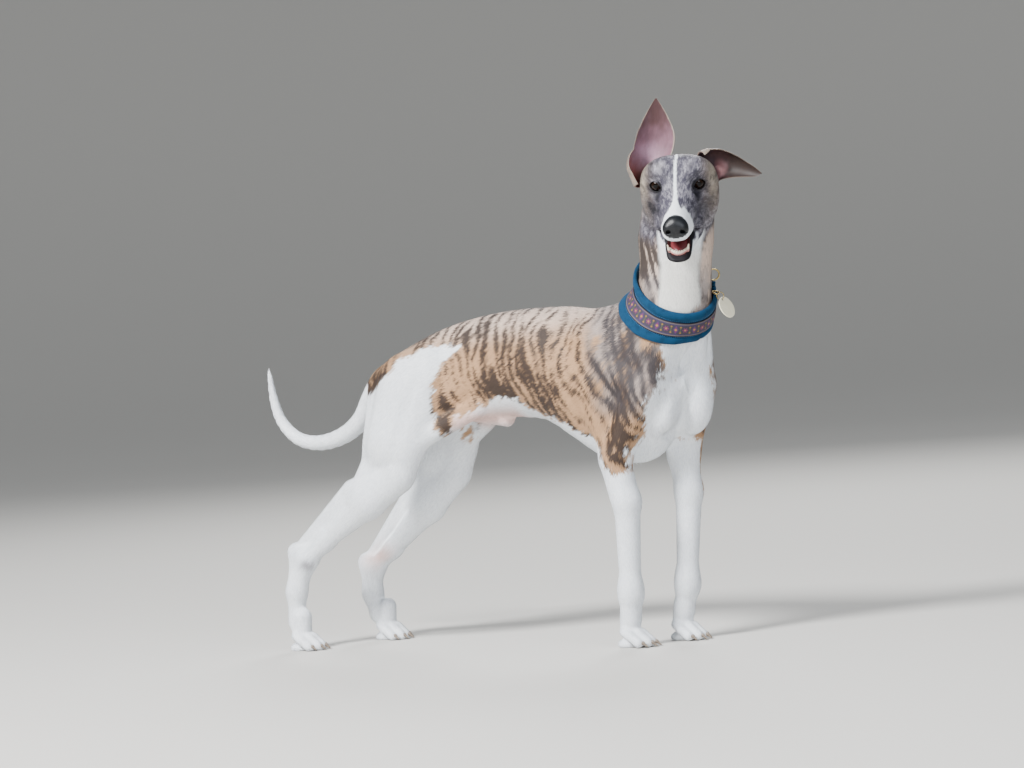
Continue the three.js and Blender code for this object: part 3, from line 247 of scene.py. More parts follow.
# Each leg's points are the centres of its flesh at that joint
legs = {
    "foreRight": {
        "sign": -1, "blade": (-52, -36, 452), "shoulder": (44, -46, 374), "triceps": (-40, -48, 385),
        "elbow": (-6, -53, 280), "forearm": (6, -51, 215), "wrist": (-1, -47.5, 84),
        "pastern": (-5, -46, 42), "paw": (-8, -46, 0), "turn": 4,
    },
    "foreLeft": {
        "sign": 1, "blade": (-38, 36, 452), "shoulder": (77, 49, 374), "triceps": (-8, 48, 388),
        "elbow": (46, 54, 280), "forearm": (50, 51, 220), "wrist": (41, 43.5, 88),
        "pastern": (34, 42, 44), "paw": (28, 42, 0), "turn": -4,
    },
    "hindRight": {
        "sign": -1, "hip": (-385, -42, 400), "knee": (-402, -60, 268), "calf": (-462, -63, 232),
        "hock": (-588, -66, 143), "heel": (-609, -66, 154), "shank": (-610, -69, 92),
        "pastern": (-613, -70, 44), "paw": (-604, -71, 0), "turn": 3,
    },
    "hindLeft": {
        "sign": 1, "hip": (-385, 42, 400), "knee": (-384, 60, 260), "calf": (-440, 62, 214),
        "hock": (-558, 66, 118), "heel": (-573, 66, 124), "shank": (-566, 68, 74),
        "pastern": (-559, 69, 40), "paw": (-544, 70, 0), "turn": -3,
    },
}


def near(p, dx, dy, dz):
    return (p[0] + dx, p[1] + dy, p[2] + dz)


def foreLeg(leg):
    out = leg["sign"]
    blade, shoulder, triceps, elbow = leg["blade"], leg["shoulder"], leg["triceps"], leg["elbow"]
    wrist, pastern = leg["wrist"], leg["pastern"]
    chestTop = (92 if out > 0 else 66, out * 22 - 6, 458)
    return blend(
        [
            bar(blade, 26, shoulder, 27),
            bar(chestTop, 33 if out > 0 else 31, (shoulder[0] + 8, out * 40, 392), 27),
            bar((blade[0] + 4, out * 40, 420), 24, triceps, 26, 1.1),
            bar(shoulder, 28, elbow, 23),
            bar(triceps, 26, near(elbow, -10, 0, 4), 15),
            bar(near(elbow, -18, -out * 2, -10), 10, (elbow[0], elbow[1], 230), 14),
            bar(elbow, 22, leg["forearm"], 20.5, 1.05),
            bar(leg["forearm"], 20.5, wrist, 16.5, 1.08),
            bar(near(wrist, 1, 0, 10), 15, near(wrist, 1, 0, -8), 17),
            bar(wrist, 16.5, pastern, 15.5),
        ],
        12,
    )


def hindLeg(leg):
    out = leg["sign"]
    hip, knee, calf, hock, heel = leg["hip"], leg["knee"], leg["calf"], leg["hock"], leg["heel"]
    hamstring = near(knee, -26, -out * 6, 44)
    return blend(
        [
            bar((-345, out * 34, 432), 38, near(hip, 0, 0, -6), 50, 1.35),
            bar((-434, out * 34, 400), 30, hamstring, 36, 1.3),
            bar(hip, 54, near(knee, -4, 0, 50), 50, 1.6),
            bar((-345, out * 42, 405), 34, near(knee, 8, 0, 8), 25, 1.25),
            bar((-262, out * 34, 362), 14, near(knee, 22, -out * 4, 44), 17, 1.2),
            bar((-292, out * 28, 396), 24, near(knee, 34, -out * 10, 84), 24, 1.3),
            bar(near(knee, -2, 0, -4), 27, calf, 30, 1.25),
            bar(hamstring, 28, near(calf, -8, 0, 14), 22, 1.45),
            bar(calf, 29, near(hock, 40, 0, 27), 15, 1.25),
            bar(near(hock, 40, 0, 27), 15, hock, 17, 1.1),
            bar(near(calf, -30, 0, 16), 15, near(heel, 6, 0, 6), 7.5, 1.1),
            bar(heel, 9.5, hock, 15),
            bar(hock, 17, leg["shank"], 14.5, 1.05),
            bar(heel, 10, leg["shank"], 13),
            bar(leg["shank"], 14.5, leg["pastern"], 14.5),
        ],
        12,
    )


# A paw in its own frame, x towards the toes, standing on z = 0
toes = []
for i in range(4):
    offset = i - 1.5
    inner = abs(offset) < 1
    toes.append({
        "root": (-2, offset * 8, 24), "knuckle": (17 if inner else 9, offset * 11, 18.5 if inner else 17),
        "tip": (31 if inner else 22, offset * 11.6, 7.3), "claw": (47 if inner else 37.5, offset * 12.4, 2.2),
        "radius": 8.4 if inner else 7.9,
    })
oneToe = [chain([(t["root"], 9), (t["knuckle"], t["radius"]), (t["tip"], t["radius"])], 1, 3) for t in toes]
pawShape = blend([bar((4, 0, 52), 14.5, (0, 0, 26), 16), egg((-3, 0, 5), 18, 16.5, 9.5), *oneToe], 4.5)


def toPaw(leg, p):
    angle = math.radians(leg["turn"])
    d = p - np.array(leg["paw"], float)
    c, s = math.cos(angle), math.sin(angle)
    return np.stack([d[:, 0] * c + d[:, 1] * s, d[:, 1] * c - d[:, 0] * s, p[:, 2]], 1)


def fromPaw(leg, p):
    angle = math.radians(leg["turn"])
    p = np.atleast_2d(np.asarray(p, float))
    c, s = math.cos(angle), math.sin(angle)
    base = leg["paw"]
    return np.stack([base[0] + p[:, 0] * c - p[:, 1] * s, base[1] + p[:, 0] * s + p[:, 1] * c, p[:, 2]], 1)


def curve(points, count):
    # a number of points along a smooth curve through the given rows
    rows = np.asarray(points, float)
    t = np.linspace(0, len(rows) - 1, count)
    return between(np.column_stack([np.arange(len(rows)), rows]), t)[:, 1:]


tail = {
    "points": [
        (-446, 0, 420, 20), (-466, 0, 410, 18.5), (-488, 0, 384, 16.5), (-508, -2, 354, 15),
        (-542, -4, 331, 13.5), (-589, -6, 320, 12), (-633, -7, 328, 10.4), (-664, -8, 357, 8.6),
        (-677, -8, 394, 6.6), (-682, -8, 434, 3.4),
    ],
    "coatFrom": -478, "coatAbove": 240,
}
tailPath = curve(tail["points"], 28)
tailShape = chain([(row[:3], row[3]) for row in tailPath], 1, 3)
chest = blend([egg((58, -20, 352), 34, 26, 44), egg((79, 28, 358), 36, 28, 54)], 8)
sheath = bar((-320, 0, 358), 13, (-232, 0, 341), 10.5)
foreLegs = [foreLeg(legs["foreRight"]), foreLeg(legs["foreLeft"])]
hindLegs = [hindLeg(legs["hindRight"]), hindLeg(legs["hindLeft"])]

# The head in its own frame: x to the nose, y to the dog's left, z up
skull = sections(
    [
        [-92, 2, -24, 8, 0.5], [-82, 10, -44, 33, 0.45], [-68, 18, -62, 48, 0.45],
        [-52, 25.5, -76, 55, 0.5], [-36, 30, -84, 57, 0.55], [-22, 30.5, -85, 55, 0.57],
        [-10, 27, -83, 49, 0.56], [0, 21, -79, 41, 0.52], [10, 14, -74, 34, 0.46],
        [24, 6, -66, 30, 0.38],
    ],
    2.7,
    2.7,
)
muzzle = sections(
    [
        [-14, 20, -44, 14, 0.5], [0, 14.5, -48, 19.5, 0.4], [16, 8, -51, 25, 0.3],
        [34, 3, -51.5, 28, 0.27], [52, -0.5, -50, 25, 0.27], [70, -4, -47.5, 22.5, 0.3],
        [82, -8, -45.4, 20.5, 0.36], [91, -14, -43.4, 17.5, 0.42], [96, -25, -41, 10, 0.45],
    ],
    1.85,
    2.6,
)
lowerJaw = sections(
    [
        [4, -48, -82, 34, 0.5], [22, -51, -81.5, 33, 0.6], [38, -52.5, -80.5, 28, 0.6],
        [54, -57, -81, 23, 0.6], [68, -64, -81.5, 19.5, 0.6], [80, -70, -81.5, 17, 0.6],
        [88, -73, -79, 10.5, 0.5],
    ],
    2.6,
    2,
)
lipCorners = [bar((8, s * 30, -44), 9, (32, s * 28.5, -47), 6.5) for s in (-1, 1)]
browRidges = [bar((-5, s * 20, 18), 8, (-19, s * 37, 12), 8.5) for s in (-1, 1)]
plainHead = blend([blend([skull, muzzle], 9), *lipCorners, *browRidges], 7)


def eyeOut(side):
    turn = math.radians(eyes["turn"])
    return point(math.cos(turn), side * math.sin(turn), 0)


def lidOpening(side):
    # a rounded almond in front of the eye, its inner corner a little lower
    centre, out = eyeCentre(side), eyeOut(side)
    across = point(-out[1], out[0], 0) * side
    half = eyes["openWidth"] / 2

    def field(p):
        q = p - centre
        w = np.clip((q @ across) / half, -1.3, 1.3)
        tilt = w * 0.7
        arch = np.maximum(1 - np.abs(w) ** 2.3, -0.6)
        upper = tilt + eyes["openHeight"] * 0.56 * arch - 0.6
        lower = tilt - eyes["openHeight"] * 0.44 * arch - 0.6
        d = np.maximum(q[:, 2] - upper, lower - q[:, 2]) * 0.85
        return np.maximum(d, -(q @ out) + 1)

    return field


lidOpenings = [lidOpening(s) for s in (-1, 1)]
mouthLinks = [
    ((30, 0, -56), 5), ((48, 0, -58), 8.5), ((66, 0, -60), 11), ((84, 0, -61.5), 10), ((100, 0, -62), 9),
]
mouthHollow = chain(mouthLinks, 1 / 1.5, 3)


def headShape(q):
    # q is in the head's frame
    d = plainHead(q)
    rows = np.nonzero((np.abs(q[:, 0]) < 34) & (np.abs(q[:, 2]) < 34))[0]
    if rows.size:
        e, p = d[rows], q[rows]
        for s in (-1, 1):
            e = smoothMax(e, -ballField(eyeCentre(s) + eyeOut(s) * (eyes["radius"] + 9), 15)(p), 7)
            e = smoothMin(e, ballField(eyeCentre(s), eyes["radius"] + eyes["lid"])(p), 3)
        d[rows] = e
    return smoothMin(d, lowerJaw(q), 6)


# Soft grooves and ridges of the muscles: strokes seen from the right (-1), the left (1) or the front (0),
# each with its half width and depth. A stroke of negative depth stands out.
relief = [
    {"side": -1, "path": [(-488, 224), (-540, 184), (-582, 156)], "width": 5, "depth": 1.9},
    {"side": 1, "path": [(-466, 208), (-516, 164), (-548, 134)], "width": 5, "depth": 1.9},
    {"side": -1, "path": [(-350, 400), (-378, 330), (-396, 288)], "width": 9, "depth": 1.7},
    {"side": 1, "path": [(-350, 400), (-368, 330), (-380, 284)], "width": 9, "depth": 1.7},
    {"side": -1, "path": [(-428, 408), (-442, 340), (-452, 282)], "width": 8, "depth": 1.5},
    {"side": 1, "path": [(-428, 408), (-436, 336), (-440, 270)], "width": 8, "depth": 1.5},
    {"side": -1, "path": [(-52, 402), (-44, 350), (-24, 300)], "width": 7, "depth": 1.8},
    {"side": 1, "path": [(-18, 402), (-6, 350), (22, 300)], "width": 7, "depth": 1.8},
    {"side": -1, "path": [(10, 372), (-6, 332), (-4, 296)], "width": 7, "depth": 1.1},
    {"side": -1, "path": [(-54, 474), (-12, 424), (34, 380)], "width": 8, "depth": -1.6},
    {"side": 1, "path": [(-40, 474), (6, 424), (64, 380)], "width": 8, "depth": -1.6},
    {"side": -1, "path": [(-20, 462), (14, 424), (50, 400)], "width": 7, "depth": 1.2},
    {"side": -1, "path": [(2, 268), (4, 222), (2, 176)], "width": 4, "depth": 0.9},
    {"side": -1, "path": [(-456, 246), (-500, 206), (-540, 176)], "width": 6, "depth": -0.8},
    {"side": 0, "path": [(-10, 384), (-12, 366)], "width": 12, "depth": -2.2},
    {"side": 0, "path": [(-3, 456), (-2, 428), (-8, 398)], "width": 5.5, "depth": 3.6},
    {"side": 0, "path": [(24, 450), (25, 418)], "width": 5.5, "depth": 2.6},
    {"side": 0, "path": [(-22, 360), (-17, 330), (-12, 300)], "width": 14, "depth": 5.5},
]
ribs = {"spacing": 23, "depth": 0.7}


def strokeDistance(u, v, path):
    best = np.full(len(u), 1e9)
    for (u0, v0), (u1, v1) in zip(path, path[1:]):
        du, dv = u1 - u0, v1 - v0
        t = np.clip(((u - u0) * du + (v - v0) * dv) / (du * du + dv * dv), 0, 1)
        best = np.minimum(best, np.hypot(u - u0 - t * du, v - v0 - t * dv))
    return best


def reliefOf(p):
    # how far the surface sinks at each point
    sunk = np.zeros(len(p))
    for stroke in relief:
        u = p[:, 0] if stroke["side"] else p[:, 1]
        corners = np.array(stroke["path"], float)
        room = stroke["width"] * 2.6
        (lowU, lowV), (highU, highV) = corners.min(0) - room, corners.max(0) + room
        close = (u > lowU) & (u < highU) & (p[:, 2] > lowV) & (p[:, 2] < highV)
        close &= p[:, 1] * stroke["side"] > 6 if stroke["side"] else p[:, 0] > 56
        rows = np.nonzero(close)[0]
        if rows.size:
            away = strokeDistance(u[rows], p[rows, 2], stroke["path"])
            sunk[rows] += stroke["depth"] * np.exp(-((away / stroke["width"]) ** 2))
    x, z = p[:, 0], p[:, 2]
    rows = np.nonzero((x > -235) & (x < -35) & (z > 300) & (z < 480))[0]
    if rows.size:
        x, z = x[rows], z[rows]
        wave = 0.5 - 0.5 * np.cos((x + 0.4 * (z - 390)) * 2 * math.pi / ribs["spacing"])
        shown = np.exp(-(((x + 140) / 70) ** 4 + ((z - 385) / 65) ** 4))
        sunk[rows] += ribs["depth"] * wave * shown
    return sunk


def bodyShape(p):
    x, z = p[:, 0], p[:, 2]
    d = np.full(len(p), 200.0)
    high = np.nonzero(z > 225)[0]
    if high.size:
        q = p[high]
        e = smoothMin(trunk(q), neck(q), 26)
        into(e, q[:, 0] > -40, chest, q, 16)
        into(e, q[:, 0] < -150, sheath, q, 10)
        d[high] = e
    for field in foreLegs:
        into(d, (x > -160) & (z < 520), field, p, 14)
    for field in hindLegs:
        into(d, x < -190, field, p, 14)
    for leg in legs.values():
        low = (z < 75) & (np.abs(x - leg["paw"][0]) < 90)
        into(d, low, lambda q, leg=leg: pawShape(toPaw(leg, q)), p, 7)
    into(d, x < -420, tailShape, p, 7)
    into(d, z > 530, lambda q: headShape(toHead(q)), p, 14)
    return d + reliefOf(p)


def lattice(lines):
    # every point of a grid with the given lines, one row each
    return np.stack(np.meshgrid(*lines, indexing="ij"), -1).reshape(-1, 3)


def surfaceOf(field, axes, level=0.0):
    # the surface of a field, found on a grid whose lines stand closest where detail is finest
    block, outside = 6, 50.0
    axes = [np.asarray(a, float) for a in axes]
    shape = tuple(int(math.ceil(len(a) / block)) * block for a in axes)
    axes = [np.concatenate([a, a[-1] + 3.0 * np.arange(1, n - len(a) + 1)]) for a, n in zip(axes, shape)]
    grid = np.full(shape, outside, np.float32)
    starts = [np.arange(0, n, block) for n in shape]
    lows = [a[s] for a, s in zip(axes, starts)]
    highs = [a[np.minimum(s + block, n - 1)] for a, s, n in zip(axes, starts, shape)]
    middles = lattice([(l + h) / 2 for l, h in zip(lows, highs)])
    halves = lattice([(h - l) / 2 for l, h in zip(lows, highs)])
    corner = lattice(starts)
    # only blocks that the surface may cross are filled in full
    coarse = field(middles) - level
    reach = np.sqrt((halves ** 2).sum(1)) * 1.5 + 2
    for i, j, k in corner[coarse < 0]:
        grid[i:i + block, j:j + block, k:k + block] = -outside
    active = corner[np.abs(coarse) < reach]
    step = lattice([np.arange(block)] * 3)
    for some in np.array_split(active, max(1, len(active) // 900)):
        i, j, k = (some[:, None, :] + step[None]).reshape(-1, 3).T
        grid[i, j, k] = field(np.stack([axes[0][i], axes[1][j], axes[2][k]], 1)) - level
    volume = openvdb.FloatGrid(outside)
    volume.copyFromArray(grid, tolerance=0.0)
    points, quads = volume.convertToQuads(0.0)
    points = np.asarray(points, float)
    places = np.stack([np.interp(points[:, i], np.arange(shape[i]), axes[i]) for i in range(3)], 1)
    return places, np.asarray(quads, np.int64)[:, ::-1]


def spaced(*runs):
    # grid lines from runs of (start, end, step), each starting where the last one ends
    lines = []
    for start, end, step in runs:
        lines.append(np.linspace(start, end, max(2, round((end - start) / step) + 1))[:-1])
    return np.concatenate([*lines, [runs[-1][1]]])


def newPiece(name, points, faces):
    mesh = bpy.data.meshes.new(name)
    if len({len(face) for face in faces}) > 1:
        mesh.from_pydata([tuple(map(float, p)) for p in points], [], [tuple(face) for face in faces])
    else:
        faces = np.asarray(faces, np.int32)
        mesh.vertices.add(len(points))
        mesh.vertices.foreach_set("co", np.asarray(points, np.float32).ravel())
        mesh.loops.add(faces.size)
        mesh.loops.foreach_set("vertex_index", faces.ravel())
        mesh.polygons.add(len(faces))
        mesh.polygons.foreach_set("loop_start", np.arange(0, faces.size, faces.shape[1], dtype=np.int32))
        mesh.update(calc_edges=True)
        mesh.validate()
    mesh.shade_smooth()
    piece = bpy.data.objects.new(name, mesh)
    scene.collection.objects.link(piece)
    return piece


collar = {
    "middle": point(84, -9, 500), "normal": point(0.69, -0.51, 1), "width": 46, "radius": 55, "flare": 2,
    "gap": 0.3, "skinOverlap": 9, "bodyCoatOverlap": 2, "headCoatStart": 8,
}
collar["normal"] = collar["normal"] / np.linalg.norm(collar["normal"])
pastCollar = planeSide(collar["normal"], collar["middle"])
# The skin lies this deep under the tips of the coat. Its tufts vary in lie (degrees), size, rise and shade.
coat = {
    "bodyDepth": 0.9, "faceDepth": 0.4, "rootDepth": 0.25, "aboveFloor": 0.3, "swing": 7,
    "sizes": (0.75, 1.25), "rises": (0.4, 1.3), "shades": (0.86, 1.12),
    "cornerShades": (0.92, 0.92, 1.0, 1.0, 1.06),
}


def ramp(value, low, high):
    t = np.clip((value - low) / (high - low), 0, 1)
    return t * t * (3 - 2 * t)


def over(base, colour, cover):
    # lays a colour over another, wholly where cover is 1
    return base + (colour - base) * np.asarray(cover)[..., None]


def lipHeight(x):
    # the edge of the upper lip along the muzzle
    return np.interp(x, [20, 33, 60, 84, 96], [-50, -51, -49, -45.4, -42.5])


def lowerRim(x):
    # the rim of the lower jaw
    return np.interp(x, [20, 33, 54, 68, 80, 90], [-50, -52, -57, -64, -70, -73])


def bodyFlesh(p):
    # down to the paws, and up to a line hidden under the collar
    d = smoothMax(bodyShape(p), pastCollar(p) - collar["skinOverlap"], 4)
    return np.maximum(d, -p[:, 2] - coat["bodyDepth"])


def headFlesh(q):
    # head and neck in the head's frame, down to a line hidden under the collar
    p = fromHead(q)
    d = smoothMin(headShape(q), smoothMin(trunk(p), neck(p), 26), 14)
    front = np.nonzero((q[:, 0] > -40) & (np.abs(q[:, 2]) < 30))[0]
    if front.size:
        e, r = d[front], q[front]
        for s, opening in zip((-1, 1), lidOpenings):
            e = smoothMax(e, -opening(r), 2)
            e = smoothMax(e, -ballField(eyeCentre(s), eyes["radius"] + 0.1)(r), 1)
        d[front] = e
    jaws = np.nonzero((q[:, 0] > 10) & (q[:, 2] < -30))[0]
    if jaws.size:
        r = q[jaws]
        e = smoothMax(d[jaws], -mouthHollow(r), 2.5)
        parting = np.abs(r[:, 2] - lipHeight(r[:, 0]) + 1.4) - 1.1 * ramp(r[:, 0], 30, 44)
        deep = 24 - np.abs(r[:, 1]) - (r[:, 0] - 34) * 0.18
        e = smoothMax(e, -np.maximum(np.maximum(parting, deep), 30 - r[:, 0]), 1.5)
        philtrum = bar((99, 0, -30), 1.0, (97, 0, -45), 1.3)
        d[jaws] = smoothMax(e, -philtrum(r), 1.5)
    return smoothMax(d, -pastCollar(p) - collar["skinOverlap"], 4)


bodyLines = (
    spaced((-705, -630, 3), (-630, -500, 2.1), (-500, -60, 4), (-60, 80, 2.3), (80, 131, 3)),
    spaced((-120, 120, 2.6)),
    spaced((-4, 60, 2.1), (60, 300, 3.2), (300, 600, 3.8)),
)
headLines = (
    spaced((-230, -105, 3.2), (-105, -26, 1.95), (-26, 6, 0.85), (6, 108, 1.32)),
    spaced((-90, -42, 1.95), (-42, -17, 0.9), (-17, 17, 1.35), (17, 42, 0.9), (42, 90, 1.95)),
    spaced((-300, -96, 3.1), (-96, -14, 1.32), (-14, 14, 0.85), (14, 36, 1.5)),
)
bodyPoints, bodyQuads = surfaceOf(bodyFlesh, bodyLines, -coat["bodyDepth"])
print("body skin", len(bodyQuads), "faces")
headPoints, headQuads = surfaceOf(headFlesh, headLines, -coat["faceDepth"])
print("head skin", len(headQuads), "faces")

# Nose pad: two wings, comma nostrils with their slits, and a groove down to the lip
nosePad = blend(
    [egg((87.5, 0, -22), 14.5, 17, 16.5), *[egg((92, s * 10.5, -23), 9, 7.5, 9.5) for s in (-1, 1)]],
    5,
)
nostrils = [bar((106, s * 8.5, -23), 3.4, (91, s * 12, -25), 2.8) for s in (-1, 1)]
nostrilSlits = [bar((101, s * 12.5, -25.5), 1.9, (92, s * 19, -29.5), 1.2) for s in (-1, 1)]
noseGroove = bar((106, 0, -19), 1.1, (97, 0, -38), 1.2)


def noseFlesh(q):
    d = nosePad(q)
    for pit in nostrils:
        d = smoothMax(d, -pit(q), 1.6)
    for slit in nostrilSlits:
        d = smoothMax(d, -slit(q), 1.2)
    return smoothMax(d, -noseGroove(q), 1.6)


# Tongue, lying in the floor of the mouth with a groove along its middle
def tongueFlesh(q):
    r = q - (49.5, 0, -65.5)
    c, s = math.cos(math.radians(7)), math.sin(math.radians(7))
    r = np.stack([r[:, 0] * c - r[:, 2] * s, r[:, 1], r[:, 0] * s + r[:, 2] * c], 1)
    d = egg((0, 0, 0), 24, 12.5, 5.5)(r)
    return smoothMax(d, -bar((-22, 0, 5.6), 1.0, (20, 0, 5.6), 0.8)(r), 3)


# Lower teeth: six incisors between two canines, standing in a pale gum
teeth = {
    "reach": 80, "bow": 0.055, "spacing": 3.3, "incisor": 1.8, "canine": 2.7,
    "enamel": "#e9dfc9", "gum": "#c48e87",
}


def toothReach(y, back):
    return teeth["reach"] - teeth["bow"] * y * y - back


gum = chain([((toothReach(y, 3), y, -69.6 + 0.02 * y * y), 2.5) for y in np.linspace(-12.6, 12.6, 9)], 1, 2)
incisors = [
    chain([((toothReach(y, 2.5), y, -71), teeth["incisor"]), ((toothReach(y, 1.5), y, -65.6), 1.5)], 1.1, 1)
    for y in (np.arange(6) - 2.5) * teeth["spacing"]
]
canines = []
for s in (-1, 1):
    root, neckOfTooth, crown = (70, s * 11.8, -73), (73, s * 13.4, -64.5), (74, s * 15, -57)
    canines.append(chain([(root, teeth["canine"]), (neckOfTooth, 2.1), (crown, 0.9)], k=1))
teethFlesh = blend([*incisors, *canines, gum], 0.8)


def finePiece(name, field, low, high, step):
    points, quads = surfaceOf(field, [spaced((a, b, step)) for a, b in zip(low, high)])
    return newPiece(name, headToFrame(points), quads), points


nose = finePiece("nose_pad", noseFlesh, (66, -24, -45), (110, 24, 0), 0.7)[0]
tongue = finePiece("tongue_skin", tongueFlesh, (22, -16, -76), (78, 16, -56), 0.9)[0]
lowerTeeth, toothPoints = finePiece("lower_teeth_row", teethFlesh, (62, -19, -77), (88, 19, -52), 0.5)
print("nose, tongue and teeth made")


def eyeGlobe(side):
    # a globe with its clear bulge, its poles along the gaze so that the iris is round
    rings, sides, bulge = 56, 72, 0.55
    centre, out = eyeCentre(side), eyeOut(side)
    gaze = out * 0.62 + point(0.9, 0.06, 0.42) * 0.38
    gaze /= np.linalg.norm(gaze)
    across = np.cross(point(0, 0, 1), gaze)
    across /= np.linalg.norm(across)
    rise = np.cross(gaze, across)
    polar = np.linspace(0, math.pi, rings + 1)[1:-1]
    around = np.arange(sides) / sides * 2 * math.pi
    radii = eyes["radius"] + bulge * np.exp(-(polar / 0.55) ** 4)
    spots = [centre + gaze * (eyes["radius"] + bulge)]
    for a, r in zip(polar, radii):
        ring = np.cos(around)[:, None] * across + np.sin(around)[:, None] * rise
        spots.extend(centre + gaze * r * math.cos(a) + ring * r * math.sin(a))
    spots.append(centre - gaze * eyes["radius"])
    faces = []
    for i in range(rings - 2):
        for j in range(sides):
            a, b = 1 + i * sides + j, 1 + i * sides + (j + 1) % sides
            faces.append((a, a + sides, b + sides, b))
    last = len(spots) - 1
    for j in range(sides):
        faces.append((0, 1 + j, 1 + (j + 1) % sides))
        faces.append((last, last - sides + (j + 1) % sides, last - sides + j))
    spots = np.array(spots)
    away = spots - centre
    angle = np.degrees(np.arccos(np.clip(away @ gaze / np.linalg.norm(away, axis=1), -1, 1)))
    return spots, faces, angle, np.arctan2(away @ across, away @ rise)


def eyeColour(angle, turned):
    # rings by the angle from the middle of the pupil, in degrees
    fibres = noise(np.stack([np.cos(turned) * 9, np.sin(turned) * 9, angle * 0.04], 1), 1, 111, 2)
    out = over(rgb(eyes["iris"]), rgb(eyes["fibre"]), fibres)
    out = over(out, rgb(eyes["pupil"]), 1 - ramp(angle, 16, 19))
    out = over(out, rgb(eyes["rim"]), ramp(angle, 36, 42))
    return over(out, rgb(eyes["white"]), ramp(angle, 46, 54))


bodySkin = newPiece("body_skin", toFrame(bodyPoints), bodyQuads)
headSkin = newPiece("head_skin", headToFrame(headPoints), headQuads)


def linear(code):
    values = [int(code[i:i + 2], 16) / 255 for i in (1, 3, 5)]
    return tuple(v / 12.92 if v <= 0.04045 else ((v + 0.055) / 1.055) ** 2.4 for v in values) + (1.0,)


def rgb(code):
    return np.array(linear(code)[:3])


def scatter(i, j, k, seed):
    # a repeatable random value from 0 to 1 at each whole place
    n = i * 374761393 + j * 668265263 + k * 1274126177 + seed * 974711
    n = (n ^ (n >> 13)) * 1103515245
    return ((n ^ (n >> 16)) & 0xFFFFFF) / 16777215.0


def noise(p, size, seed=1, detail=2):
    # soft noise from 0 to 1 whose blobs measure size along x, y and z
    total, weight = 0.0, 0.0
    q = p / np.asarray(size, float)
    for octave in range(detail):
        base = np.floor(q).astype(np.int64)
        t = q - base
        t = t * t * (3 - 2 * t)
        value = 0.0
        for a in (0, 1):
            for b in (0, 1):
                for c in (0, 1):
                    w = np.abs(1 - a - t[:, 0]) * np.abs(1 - b - t[:, 1]) * np.abs(1 - c - t[:, 2])
                    value = value + w * scatter(base[:, 0] + a, base[:, 1] + b, base[:, 2] + c, seed + octave)
        total = total + value * 0.5 ** octave
        weight += 0.5 ** octave
        q = q * 2.03 + 17.3
    return total / weight


def inPolygon(u, v, corners):
    # distance to a closed outline, negative inside it
    corners = np.asarray(corners, float)
    best = np.full(len(u), 1e9)
    inside = np.zeros(len(u), bool)
    for (x0, y0), (x1, y1) in zip(corners, np.roll(corners, -1, 0)):
        dx, dy = x1 - x0, y1 - y0
        t = np.clip(((u - x0) * dx + (v - y0) * dy) / (dx * dx + dy * dy), 0, 1)
        best = np.minimum(best, np.hypot(u - x0 - t * dx, v - y0 - t * dy))
        crosses = (y0 > v) != (y1 > v)
        if y1 != y0:
            inside ^= crosses & (u < (x1 - x0) * (v - y0) / (y1 - y0) + x0)
    return np.where(inside, -best, best)


# Markings, in the dog's own millimetres seen from its side: x along the body, z up
brindle = {
    "right": [
        (-476, 404), (-440, 396), (-415, 410), (-394, 426), (-380, 442), (-347, 456), (-322, 462),
        (-274, 458), (-297, 438), (-310, 423), (-317, 409), (-325, 379), (-328, 349), (-322, 330),
        (-317, 320), (-303, 326), (-289, 352), (-273, 357), (-256, 364), (-210, 379), (-174, 371),
        (-153, 356), (-133, 345), (-105, 337), (-76, 323), (-38, 309), (-17, 293), (-12, 270),
        (-2, 261), (10, 258), (19, 262), (24, 289), (43, 319), (58, 348), (70, 373), (78, 392),
        (85, 416), (88, 453), (92, 520), (60, 600), (-120, 560), (-300, 540), (-460, 480), (-492, 420),
    ],
    "left": [
        (-480, 400), (-450, 392), (-420, 400), (-400, 415), (-372, 425), (-340, 452), (-300, 446),
        (-282, 430), (-300, 402), (-330, 380), (-345, 340), (-338, 312), (-320, 316), (-296, 346),
        (-262, 362), (-215, 376), (-170, 366), (-128, 343), (-90, 326), (-40, 305), (10, 285),
        (28, 262), (34, 210), (46, 178), (62, 188), (72, 240), (86, 290), (104, 330), (112, 390),
        (108, 453), (112, 520), (60, 600), (-120, 560), (-300, 540), (-460, 480), (-494, 420),
    ],
    # x, z, reach along x and z, and how much more of the coat there is dark
    "darker": [
        (-150, 385, 80, 44, 0.56), (-150, 455, 85, 30, 0.42), (-92, 478, 32, 18, 0.30),
        (-218, 405, 18, 26, 0.35), (-240, 400, 12, 20, 0.30), (-258, 376, 12, 14, 0.40),
        (-308, 352, 13, 34, 0.75), (-290, 384, 12, 12, 0.25), (-262, 476, 38, 13, 0.40),
        (-345, 470, 45, 14, 0.45), (-440, 415, 42, 22, 0.95), (12, 420, 46, 70, 0.6),
        (-215, 386, 46, 11, 0.45), (52, 412, 34, 80, 0.6), (16, 330, 19, 48, 0.95),
        (-70, 330, 34, 22, 0.40), (-118, 352, 30, 16, 0.30), (30, 500, 60, 34, 0.35),
        (-50, 420, 9, 60, 0.15), (60, 590, 60, 70, 0.65),
    ],
    "stripe": 17, "fawn": "#b58f6c", "pale": "#dccabe", "dark": "#2b2423", "grey": "#37353b",
    "frost": "#a39b99",
}
white = {"coat": "#eff3f8", "skin": "#dcae9f", "spot": "#8d8990", "throat": "#d9d3c3"}


